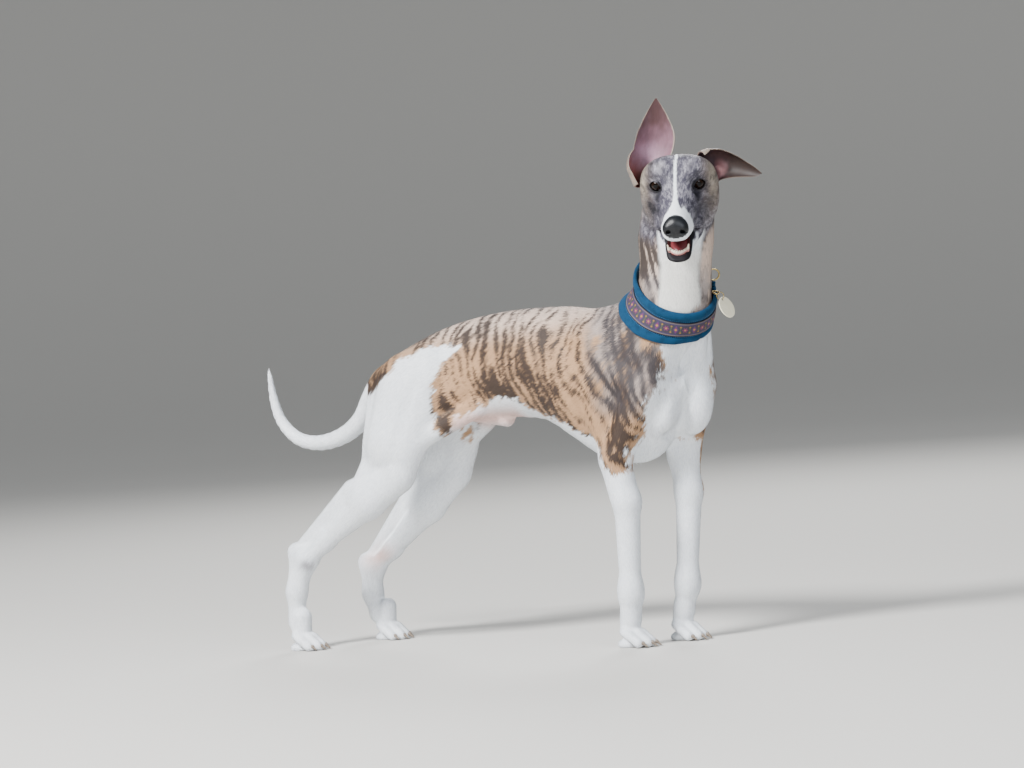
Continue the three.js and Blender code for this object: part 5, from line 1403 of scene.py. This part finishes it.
def discShape(name, radius, holeAt, holeRadius, depth, bevel):
    # a flat disc with a small hole and softened edges, drawn as a curve and turned into a mesh
    outline = bpy.data.curves.new(name, "CURVE")
    outline.dimensions = "2D"
    outline.fill_mode = "BOTH"
    outline.extrude = depth / 2 - bevel
    outline.bevel_depth = bevel
    outline.bevel_resolution = 3
    for middle, size, steps in ((0, radius - bevel, 96), (holeAt, holeRadius + bevel, 32)):
        line = outline.splines.new("POLY")
        line.points.add(steps - 1)
        for i in range(steps):
            a = i / steps * 2 * math.pi
            line.points[i].co = (size * math.cos(a), middle + size * math.sin(a), 0, 1)
        line.use_cyclic_u = True
    holder = bpy.data.objects.new(name, outline)
    mesh = bpy.data.meshes.new_from_object(holder)
    bpy.data.objects.remove(holder)
    return mesh


tagBack = tagFacing - hangs * (tagFacing @ hangs)
tagBack /= np.linalg.norm(tagBack)
tagAxes = Matrix([np.cross(-hangs, tagBack), -hangs, tagBack]).transposed().to_4x4()
holeAt = tag["radius"] - tag["inset"]
tagSizes = [size * mm for size in (tag["radius"], holeAt, tag["hole"], tag["thickness"], tag["bevel"])]
tagMesh = discShape("tag_disc", *tagSizes)
tagMesh.transform(Matrix.Translation(Vector(toFrame(tagCentre))) @ tagAxes)
tagPiece = bpy.data.objects.new("tag_disc", tagMesh)
scene.collection.objects.link(tagPiece)

# One row of claws for each paw, each bending down from the tip of its toe
clawLinks = []
for toe in toes:
    bend = np.array(toe["tip"]) * (0.45, 0.5, 0) + np.array(toe["claw"]) * (0.55, 0.5, 0) + (0, 0, 7.4)
    clawLinks.append([(toe["tip"], 3.0), (tuple(bend), 2.5), (toe["claw"], 0.9)])
clawShape = blend([chain(links, 1.25, 1.5) for links in clawLinks], 0.4)
clawRuns = ((16, 51, 0.6), (-25, 25, 0.6), (0.2, 14, 0.6))
clawPoints, clawQuads = surfaceOf(clawShape, [spaced(run) for run in clawRuns])
claws = {}
for name, leg in legs.items():
    where = ("fore" if name.startswith("fore") else "hind") + "_" + ("left" if leg["sign"] > 0 else "right")
    claws[where] = newPiece(f"claws_{where}", toFrame(fromPaw(leg, clawPoints)), clawQuads)
print("collar, rings, tag and claws made")

# Short smooth dog's hair: matt, with a soft silky sheen along the form
shortCoat, tree, shader = newMaterial(
    "short_coat", Roughness=0.6, Sheen_Weight=0.05, Sheen_Roughness=0.4, Specular_IOR_Level=0.25,
)
ownColours(tree, shader)
for skin, values in ((bodySkin, bodyColour(bodyPoints, False)), (headSkin, headColour(headPoints, False))):
    skin.data.materials.append(shortCoat)
    setColours(skin, values)


# The lie of the coat, as a direction in the dog's own millimetres
def bodyLie(p):
    x, y, z = p.T
    way = np.stack([np.full(len(p), -1.0), np.zeros(len(p)), np.full(len(p), -0.35)], 1)

    def turnTo(weight, direction):
        w = np.clip(weight, 0, 1)[:, None]
        way[:] = way * (1 - w) + np.asarray(direction, float) * w

    turnTo(ramp(x, -70, 0) * ramp(-z, -455, -400), (-0.4, 0, -1))
    turnTo(ramp(x, 20, 80), (-0.15, 0, -1))
    turnTo(ramp(-x, 330, 390) * ramp(-z, -450, -400), (-0.55, 0, -0.85))
    turnTo(ramp(-z, -300, -270) * ramp(x, -150, -100), (-0.08, 0, -1))
    turnTo(ramp(-z, -300, -250) * ramp(-x, 380, 430), (-0.75, 0, -0.65))
    turnTo(ramp(-z, -130, -95), (-0.1, 0, -1))
    turnTo(ramp(-z, -34, -22), (0.8, 0, -0.5))
    turnTo(ramp(z, 470, 520) * ramp(x, 30, 60), (-0.3, 0.1, -1))
    onTail = isTail(p)
    if onTail.any():
        spots = tailPath[:, :3]
        nearest = ((p[onTail][:, None] - spots[None]) ** 2).sum(2).argmin(1)
        along = np.gradient(spots, axis=0)
        way[onTail] = along[nearest]
    return way


def isTail(p):
    return (p[:, 0] < tail["coatFrom"]) & (p[:, 2] > tail["coatAbove"])


def headLie(q):
    # back from the nose over the face, up the forehead, down the cheeks and the throat
    x, y, z = q.T
    up = np.where(z > -10, 0.3, -0.25 - 0.35 * ramp(-x, -20, 30))
    way = np.stack([np.full(len(q), -1.0), np.sign(y) * 0.12, up], 1)
    down = toHead(np.array([[0, 0, -1.0]]) + head["origin"])[0]
    w = ramp(-z, 62, 92)[:, None]
    return way * (1 - w) + down * w


def sampleSurface(points, quads, spacing):
    # random places on a mesh, about one for each patch of the given size in square millimetres
    tri = np.concatenate([quads[:, [0, 1, 2]], quads[:, [0, 2, 3]]])
    a, b, c = points[tri[:, 0]], points[tri[:, 1]], points[tri[:, 2]]
    crossed = np.cross(b - a, c - a)
    area = np.linalg.norm(crossed, axis=1) / 2
    want = area / spacing((a + b + c) / 3)
    count = np.floor(want + rng.random(len(want))).astype(int)
    rows = np.repeat(np.arange(len(tri)), count)
    u, v = rng.random(len(rows)), rng.random(len(rows))
    flipped = u + v > 1
    u, v = np.where(flipped, 1 - u, u), np.where(flipped, 1 - v, v)
    return a[rows] + (b - a)[rows] * u[:, None] + (c - a)[rows] * v[:, None]


def slopeOf(field, p, step=0.4):
    # the outward normal of a field at each point
    base = field(p)
    slope = np.stack([field(p + np.eye(3)[i] * step) - base for i in range(3)], 1) / step
    size = np.maximum(np.linalg.norm(slope, axis=1), 1e-6)
    return slope / size[:, None], base, size


def tufts(field, level, roots, way, length, width, lift):
    # flat tapering locks that leave the skin, follow it and end just above it
    normal, base, size = slopeOf(field, roots)
    roots = roots - normal * ((base - level) / size)[:, None]
    way = way - normal * (way * normal).sum(1)[:, None]
    way /= np.maximum(np.linalg.norm(way, axis=1), 1e-6)[:, None]
    aside = np.cross(normal, way)
    swing = np.radians(rng.normal(0, coat["swing"], len(roots)))[:, None]
    way = way * np.cos(swing) + aside * np.sin(swing)
    aside = np.cross(normal, way)
    length = (length * rng.uniform(*coat["sizes"], len(roots)))[:, None]
    width = (width * rng.uniform(*coat["sizes"], len(roots)))[:, None]
    height = (lift * rng.uniform(*coat["rises"], len(roots)))[:, None]
    middle = roots + way * length * 0.5
    tip = roots + way * length
    middle -= normal * np.clip(field(middle) - level, -2.5, 2.5)[:, None]
    tip -= normal * np.clip(field(tip) - level, -3, 3)[:, None]
    middle += normal * height * 0.8
    tip += normal * height * 0.55
    foot = roots - normal * coat["rootDepth"]
    atFoot, atMiddle = aside * width * 0.5, aside * width * 0.42
    return np.stack([foot - atFoot, foot + atFoot, middle - atMiddle, middle + atMiddle, tip], 1), normal


def bakePlaces(roots, normals):
    # an unwrap of the skin's own shape: twelve tiles by the way it faces and the side of the body
    axis = np.abs(normals).argmax(1)
    sign = normals[np.arange(len(roots)), axis] > 0
    tile = axis * 4 + sign * 2 + (roots[:, 1] > np.median(roots[:, 1]))
    low, size = roots.min(0), np.ptp(roots, axis=0) + 1e-6
    unit = (roots - low) / size
    u = np.choose(axis, [unit[:, 1], unit[:, 0], unit[:, 0]])
    v = np.choose(axis, [unit[:, 2], unit[:, 2], unit[:, 1]])
    column, row = tile % 4, tile // 4
    margin, span = 0.03, 0.94
    return np.stack([(column + margin + u * span) / 4, (row + margin + v * span) / 3], 1)


def coatPiece(name, verts, normals, colours, place):
    # verts: five to each tuft, in the frame of place
    count = len(verts)
    base = np.arange(count)[:, None] * 5
    tris = np.concatenate([base + [0, 1, 3], base + [0, 3, 2], base + [2, 3, 4]], 1).reshape(-1, 3)
    roots = (verts[:, 0] + verts[:, 1]) / 2
    piece = newPiece(name, place(verts.reshape(-1, 3)), tris)
    shade = rng.uniform(*coat["shades"], (count, 1, 1)) * np.array(coat["cornerShades"])[None, :, None]
    setColours(piece, np.clip(colours[:, None, :] * shade, 0, 1).reshape(-1, 3))
    uv = bakePlaces(roots, normals)
    offsets = np.array([[-1, -1], [1, -1], [-1, 0.3], [1, 0.3], [0, 1]]) * 0.0015
    spots = (uv[:, None] + offsets[None]).reshape(-1, 2)
    layer = piece.data.uv_layers.new(name="OFBake")
    layer.uv.foreach_set("vector", spots[tris.reshape(-1)].astype(np.float32).ravel())
    return piece


def bodySpacing(p):
    # square millimetres to a tuft: closest on the legs and the feet
    low = ramp(-p[:, 2], -300, -230)
    foot = ramp(-p[:, 2], -60, -35)
    return 2.7 - 0.6 * low - 0.7 * foot


def bodyTufts(roots):
    low, foot = ramp(-roots[:, 2], -300, -200), ramp(-roots[:, 2], -60, -30)
    length = 8.5 - 3.0 * low - 2.2 * foot
    length = np.where(roots[:, 0] < tail["coatFrom"], 8.5, length)
    width = 0.9 - 0.12 * low - 0.1 * foot
    return length, width, 0.5 - 0.18 * foot


coats = {}
roots = sampleSurface(bodyPoints, bodyQuads, bodySpacing)
roots = roots[(roots[:, 2] > 2.5) & (pastCollar(roots) < collar["bodyCoatOverlap"])]
length, width, lift = bodyTufts(roots)
verts, normals = tufts(bodyShape, -coat["bodyDepth"], roots, bodyLie(roots), length, width, lift)
verts[..., 2] = np.maximum(verts[..., 2], coat["aboveFloor"])
colours = bodyColour(roots)
behind, before, right = roots[:, 0] < -262, roots[:, 0] >= -70, roots[:, 1] < 0
parts = {
    "coat_tail": (isTail(roots), "white_coat"),
    "coat_hind_right": (behind & right & ~isTail(roots), "white_coat"),
    "coat_hind_left": (behind & ~right & ~isTail(roots), "white_coat"),
    "coat_ribs": (~behind & ~before, "brindle_coat"),
    "coat_fore_right": (before & right, "brindle_coat"),
    "coat_fore_left": (before & ~right, "brindle_coat"),
}
for name, (chosen, slotName) in parts.items():
    coats[name] = coatPiece(name, verts[chosen], normals[chosen], colours[chosen], toFrame)
    print(name, int(chosen.sum()), "tufts")


def headSpacing(q):
    near = ramp(q[:, 0], -20, 60)
    neckwards = ramp(-q[:, 2], 90, 110)
    return 2.3 - 0.9 * near + 1.0 * neckwards


# the coat of the head keeps clear of the nose, the mouth, the eyes and the rims of the lips
roots = sampleSurface(headPoints, headQuads, headSpacing)
clear = (nosePad(roots) > 1.1) & (mouthHollow(roots) > 3.2)
clear &= pastCollar(fromHead(roots)) > collar["headCoatStart"]
for s, opening in zip((-1, 1), lidOpenings):
    globe = np.sqrt(((roots - eyeCentre(s)) ** 2).sum(1))
    clear &= ~((globe < eyes["radius"] + 5) & (opening(roots) < 2.2))
x, y, z = roots.T
clear &= ~((np.abs(z - lipHeight(x) + 1.5) < 3.2) & (x > 26))
clear &= ~((x > 32) & (z < lipHeight(x)) & (z > lowerRim(x) - 7))
roots = roots[clear]
nearNose = ramp(roots[:, 0], -20, 70)
neckwards = ramp(-roots[:, 2], 80, 115)
length = 4.6 - 2.4 * nearNose + 3.4 * neckwards
width = 0.85 - 0.25 * nearNose + 0.25 * neckwards
lift = 0.4 - 0.14 * nearNose
verts, normals = tufts(headFlesh, -coat["faceDepth"], roots, headLie(roots), length, width, lift)
colours = headColour(roots)
onNeck = roots[:, 2] < -88
parts = {"coat_neck": (onNeck, "brindle_coat"), "coat_head": (~onNeck, "face_coat")}
for name, (chosen, slotName) in parts.items():
    coats[name] = coatPiece(name, verts[chosen], normals[chosen], colours[chosen], headToFrame)
    print(name, int(chosen.sum()), "tufts")

for piece in coats.values():
    piece.data.materials.append(shortCoat)
    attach(piece, "root")

# The wet surface of the eye: the gloss of a clear cornea over a dark brown iris
eyeGloss, tree, shader = newMaterial("wet_eye", Roughness=0.05, IOR=1.376, Specular_IOR_Level=0.3)
ownColours(tree, shader)
for side, word in ((-1, "right"), (1, "left")):
    spots, faces, angle, turned = eyeGlobe(side)
    globe = newPiece(f"eye_{word}_globe", headToFrame(spots), faces)
    setColours(globe, eyeColour(angle, turned))
    globe.data.materials.append(eyeGloss)
    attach(globe, "root")
    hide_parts(f"eye_{word}")

# Bare skin of the nose: fine pebbles about 1.2 mm across, moist
noseLeather, tree, shader = newMaterial(
    "nose_leather", Base_Color=linear("#0d0f13"), Roughness=0.42, Specular_IOR_Level=0.4,
)
where = addTo(tree, "ShaderNodeTexCoord").outputs["Object"]
pebbles = addTo(tree, "ShaderNodeTexVoronoi", [("Vector", where), ("Scale", 830.0)], feature="SMOOTH_F1")
grained(tree, shader, pebbles.outputs["Distance"], ("#11141a", "#030405"), bump=(0.35, 0.0004), invert=True)

# Wet tongue: pink flesh under papillae about 1 mm apart, its pink darkened in part as painted shade of the
# mouth
tongueWet, tree, shader = newMaterial("wet_tongue", Roughness=0.3, Subsurface_Weight=0.2, Coat_Weight=0.3)
shader.inputs["Subsurface Radius"].default_value = (0.004, 0.0012, 0.001)
where = addTo(tree, "ShaderNodeTexCoord").outputs["Object"]
grain = addTo(tree, "ShaderNodeTexNoise", [("Vector", where), ("Scale", 900.0), ("Detail", 2.0)])
grained(tree, shader, grain.outputs["Fac"], ("#521c20", "#8a4044"), bump=(0.4, 0.0004))

# Ivory enamel with the pale wet gum at its foot
enamel, tree, shader = newMaterial("tooth_enamel", Roughness=0.25, IOR=1.62, Subsurface_Weight=0.1)
shader.inputs["Subsurface Radius"].default_value = (0.002, 0.0015, 0.001)
ownColours(tree, shader)
aboveGum = ramp(toothPoints[:, 2] - 0.02 * toothPoints[:, 1] ** 2, -69.0, -67.4)
setColours(lowerTeeth, over(rgb(teeth["gum"]), rgb(teeth["enamel"]), aboveGum))

# Thin ear skin: light shines through it a little, and its hairless inside is dull
earSkin, tree, shader = newMaterial(
    "ear_skin", Roughness=0.55, Subsurface_Weight=0.12, Specular_IOR_Level=0.3,
)
shader.inputs["Subsurface Radius"].default_value = (0.004, 0.0015, 0.001)
ownColours(tree, shader)

for piece, node, slotName, finish in (
    (nose, "nose", "nose", noseLeather),
    (tongue, "tongue", "tongue", tongueWet),
    (lowerTeeth, "lower_teeth", "teeth", enamel),
    (earPieces["right"], "ear_right", "ear", earSkin),
    (earPieces["left"], "ear_left", "ear", earSkin),
):
    piece.data.materials.append(finish)
    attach(piece, "root")
    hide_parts(node)

# Soft brushed suede: no gloss, a nap under 1 mm that breaks the light, and a tone that wanders over 1 cm
# or so, with the way it was brushed
suede, tree, shader = newMaterial(
    "blue_suede", Roughness=0.9, Sheen_Weight=0.12, Sheen_Roughness=0.5, Specular_IOR_Level=0.2,
)
shader.inputs["Sheen Tint"].default_value = linear("#6fa3cc")
where = addTo(tree, "ShaderNodeTexCoord").outputs["Object"]
brushed = addTo(tree, "ShaderNodeTexNoise", [("Vector", where), ("Scale", 90.0), ("Detail", 2.0)])
nap = addTo(tree, "ShaderNodeTexNoise", [("Vector", where), ("Scale", 1500.0), ("Detail", 2.0)])
both = addTo(tree, "ShaderNodeMath", [(0, brushed.outputs["Fac"]), (1, nap.outputs["Fac"])], operation="ADD")
grained(tree, shader, both.outputs["Value"], ("#052034", "#0c3856"), (0.6, 1.0))
grained(tree, shader, nap.outputs["Fac"], bump=(0.6, 0.0003))

# Woven ribbon: crossing threads about 1 mm apart, coarser than real ones so that they show, with little gloss
woven, tree, shader = newMaterial("woven_ribbon", Roughness=0.7, Specular_IOR_Level=0.25)
ownColours(tree, shader)
where = addTo(tree, "ShaderNodeTexCoord").outputs["Object"]
weave = [("Vector", where), ("Scale", 320.0)]
weft = addTo(tree, "ShaderNodeTexWave", weave, bands_direction="Z")
warp = addTo(tree, "ShaderNodeTexWave", weave, bands_direction="DIAGONAL")
threads = [(0, weft.outputs["Fac"]), (1, warp.outputs["Fac"])]
crossed = addTo(tree, "ShaderNodeMath", threads, operation="MULTIPLY")
grained(tree, shader, crossed.outputs["Value"], bump=(0.5, 0.0002))

# Waxed blue thread of the stitches, its fibres a fraction of a millimetre
thread, tree, shader = newMaterial("waxed_thread", Roughness=0.5)
where = addTo(tree, "ShaderNodeTexCoord").outputs["Object"]
fibre = addTo(tree, "ShaderNodeTexNoise", [("Vector", where), ("Scale", 2400.0), ("Detail", 1.0)])
grained(tree, shader, fibre.outputs["Fac"], ("#123a5a", "#3a7aa8"))

# Worn brass wire: bright where it rubs, duller between, in patches of 2 to 3 mm
brass, tree, shader = newMaterial("worn_brass", Metallic=1.0, Roughness=0.3)
where = addTo(tree, "ShaderNodeTexCoord").outputs["Object"]
wear = addTo(tree, "ShaderNodeTexNoise", [("Vector", where), ("Scale", 420.0), ("Detail", 3.0)])
grained(tree, shader, wear.outputs["Fac"], ("#8c7440", "#d9c48d"))
rough = addTo(
    tree, "ShaderNodeMapRange", [("Value", wear.outputs["Fac"]), ("To Min", 0.42), ("To Max", 0.22)],
)
tree.links.new(rough.outputs["Result"], shader.inputs["Roughness"])

# Satin ivory enamel of the blank tag, a little yellower in patches of 6 mm and finely scratched
ivory, tree, shader = newMaterial("ivory_enamel", Roughness=0.38, Coat_Weight=0.2)
where = addTo(tree, "ShaderNodeTexCoord").outputs["Object"]
age = addTo(tree, "ShaderNodeTexNoise", [("Vector", where), ("Scale", 160.0), ("Detail", 3.0)])
grained(tree, shader, age.outputs["Fac"], ("#efe6c4", "#fffbe4"))
scratch = addTo(tree, "ShaderNodeTexNoise", [("Vector", where), ("Scale", 1300.0), ("Detail", 4.0)])
grained(tree, shader, scratch.outputs["Fac"], bump=(0.15, 0.0002))

# Horn of the claws: greyish brown, mottled paler every 2 mm, with a dull polish
horn, tree, shader = newMaterial("claw_horn_polish", Roughness=0.38)
where = addTo(tree, "ShaderNodeTexCoord").outputs["Object"]
grain = addTo(tree, "ShaderNodeTexNoise", [("Vector", where), ("Scale", 500.0), ("Detail", 2.0)])
grained(tree, shader, grain.outputs["Fac"], ("#4f443b", "#9a8b7c"))

# Stitches along both edges of the ribbon's channel, each a small bead of thread with sizes in metres
stitch = {
    "rows": (-12.4, 12.4), "out": 5.95, "pathSteps": 240,
    "Spacing": 0.0032, "Length": 0.0011, "Width": 0.00036,
}
stitchTree = bpy.data.node_groups.new("stitches", "GeometryNodeTree")
for label, kind, direction in (
    ("Path", "NodeSocketGeometry", "INPUT"),
    ("Spacing", "NodeSocketFloat", "INPUT"),
    ("Length", "NodeSocketFloat", "INPUT"),
    ("Width", "NodeSocketFloat", "INPUT"),
    ("Thread", "NodeSocketMaterial", "INPUT"),
    ("Stitches", "NodeSocketGeometry", "OUTPUT"),
):
    stitchTree.interface.new_socket(label, in_out=direction, socket_type=kind)
given = addTo(stitchTree, "NodeGroupInput").outputs
path = addTo(stitchTree, "GeometryNodeMeshToCurve", [("Mesh", given["Path"])])
even = addTo(
    stitchTree, "GeometryNodeResampleCurve", [("Curve", path.outputs["Curve"]), ("Length", given["Spacing"])],
    mode="LENGTH",
)
tangent = addTo(stitchTree, "GeometryNodeInputTangent")
turned = addTo(
    stitchTree, "FunctionNodeAlignEulerToVector", [("Vector", tangent.outputs["Tangent"])], axis="X",
)
bead = addTo(stitchTree, "GeometryNodeMeshUVSphere", [("Segments", 8), ("Rings", 5), ("Radius", 1.0)])
scale = addTo(
    stitchTree, "ShaderNodeCombineXYZ", [(0, given["Length"]), (1, given["Width"]), (2, given["Width"])],
)
many = addTo(stitchTree, "GeometryNodeInstanceOnPoints", [
    ("Points", even.outputs["Curve"]), ("Instance", bead.outputs["Mesh"]),
    ("Rotation", turned.outputs["Rotation"]), ("Scale", scale.outputs["Vector"]),
])
real = addTo(stitchTree, "GeometryNodeRealizeInstances", [("Geometry", many.outputs["Instances"])])
finished = addTo(stitchTree, "GeometryNodeSetMaterial", [
    ("Geometry", real.outputs["Geometry"]), ("Material", given["Thread"]),
])
addTo(stitchTree, "NodeGroupOutput", [("Stitches", finished.outputs["Geometry"])])

steps = stitch["pathSteps"]
turns = np.arange(steps) / steps * 2 * math.pi
pathPoints, pathEdges = [], []
for height in stitch["rows"]:
    start = len(pathPoints)
    pathPoints.extend(toFrame(bandPoints(turns, np.full(steps, height), np.full(steps, stitch["out"]))))
    pathEdges.extend((start + i, start + (i + 1) % steps) for i in range(steps))
pathMesh = bpy.data.meshes.new("collar_stitches")
pathMesh.from_pydata([tuple(map(float, p)) for p in pathPoints], pathEdges, [])
stitches = bpy.data.objects.new("collar_stitches", pathMesh)
scene.collection.objects.link(stitches)
maker = stitches.modifiers.new("stitches", "NODES")
maker.node_group = stitchTree
sockets = {item.name: item.identifier for item in stitchTree.interface.items_tree}
for label in ("Spacing", "Length", "Width"):
    maker[sockets[label]] = stitch[label]
maker[sockets["Thread"]] = thread
made = bpy.data.meshes.new_from_object(stitches.evaluated_get(bpy.context.evaluated_depsgraph_get()))
stitches.modifiers.clear()
stitches.data = made
made.name = "collar_stitches"
made.shade_smooth()
print("stitches", len(made.polygons), "faces")

for piece, slotName, finish, nodes in (
    (band, "collar_suede", suede, ["collar_band"]),
    (tab, "collar_suede", suede, []),
    (stitches, "collar_suede", None, []),
    (ribbonPiece, "collar_ribbon", woven, ["collar_ribbon"]),
    *[(ring, "ring_metal", brass, [node]) for node, ring in rings.items()],
    (tagPiece, "tag_metal", ivory, ["tag"]),
    *[(piece, "claw_horn", horn, [f"claw_{paw}_{i + 1}" for i in range(4)]) for paw, piece in claws.items()],
):
    if finish:
        piece.data.materials.append(finish)
    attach(piece, "root")
    if nodes:
        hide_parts(*nodes)
print("collar, tag and claws finished")

for skin, slotName in ((bodySkin, "white_coat"), (headSkin, "face_coat")):
    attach(skin, "root")
legNodes = ["upper_arm", "forearm", "pastern", "haunch", "lower_thigh", "shank", "paw_fore", "paw_hind"]
legNodes = [f"{name}_{side}" for name in legNodes for side in ("left", "right")]
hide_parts("torso", "tail_root", "tail_middle", "tail_tip", *legNodes)
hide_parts("head", "neck", "lower_jaw")

# The camera stands where the photograph was taken from, at the height of the dog's head
lens = {
    "place": (2732.67, -4215.99, 510), "right": (0.81789, 0.5707, -0.07322),
    "up": (0.04721, 0.06026, 0.99707), "focal": 119.53, "sensor": 36, "farthest": 60,
}
cameraData = bpy.data.cameras.new("camera")
cameraData.lens = lens["focal"]
cameraData.sensor_width = lens["sensor"]
cameraData.clip_end = lens["farthest"]
camera = bpy.data.objects.new("camera", cameraData)
right, up = Vector(lens["right"]).normalized(), Vector(lens["up"]).normalized()
camera.matrix_world = Matrix.LocRotScale(
    Vector(toFrame(lens["place"])), Matrix((right, up, right.cross(up))).transposed(), None
)
scene.collection.objects.link(camera)
scene.camera = camera

# A pale studio sweep all round, flat under the dog and rising softly far behind it
sweepFlat, sweepSides = 8, 128
sweep = curve([(0.0, 0), (4, 0), (sweepFlat, 0), (11, 0.3), (13, 1.2), (14.2, 2.8), (14.6, 4.6)], 40)
sweep[sweep[:, 0] <= sweepFlat, 1] = 0
turns = np.arange(sweepSides) / sweepSides * 2 * math.pi
sweepPoints = [(0.0, 0.0, 0.0)]
for reach, rise in sweep[1:]:
    sweepPoints.extend(zip(reach * np.cos(turns), reach * np.sin(turns), np.full(sweepSides, rise)))
sweepFaces = [(0, 1 + j, 1 + (j + 1) % sweepSides) for j in range(sweepSides)]
for i in range(len(sweep) - 2):
    inner, outer = 1 + i * sweepSides, 1 + (i + 1) * sweepSides
    for j in range(sweepSides):
        k = (j + 1) % sweepSides
        sweepFaces.append((inner + j, outer + j, outer + k, inner + k))
floor = newPiece("studio_sweep", sweepPoints, sweepFaces)
floor.data.materials.append(newMaterial("pale_floor", Base_Color=linear("#cfcdc8"), Roughness=0.8)[0])
floor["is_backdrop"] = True

world = bpy.data.worlds.new("studio")
world.use_nodes = True
world.node_tree.nodes["Background"].inputs["Color"].default_value = linear("#dfe4ea")
world.node_tree.nodes["Background"].inputs["Strength"].default_value = 0.38
scene.world = world


def softLight(name, place, aim, size, power, colour):
    lightData = bpy.data.lights.new(name, "AREA")
    lightData.shape = "DISK"
    lightData.size = size
    lightData.energy = power
    lightData.color = linear(colour)[:3]
    light = bpy.data.objects.new(name, lightData)
    light.location = place
    light.rotation_euler = (Vector(aim) - Vector(place)).to_track_quat("-Z", "Y").to_euler()
    scene.collection.objects.link(light)


aim = (0, 0, 0.4)
softLight("key", (-0.6, -3.9, 3.6), aim, 1.5, 680, "#ffffff")
softLight("fill", (3.6, -2.4, 2.2), aim, 2.4, 90, "#f1f6ff")
softLight("rim", (-1.5, 3.6, 3.0), aim, 1.8, 130, "#ffffff")

low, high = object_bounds()
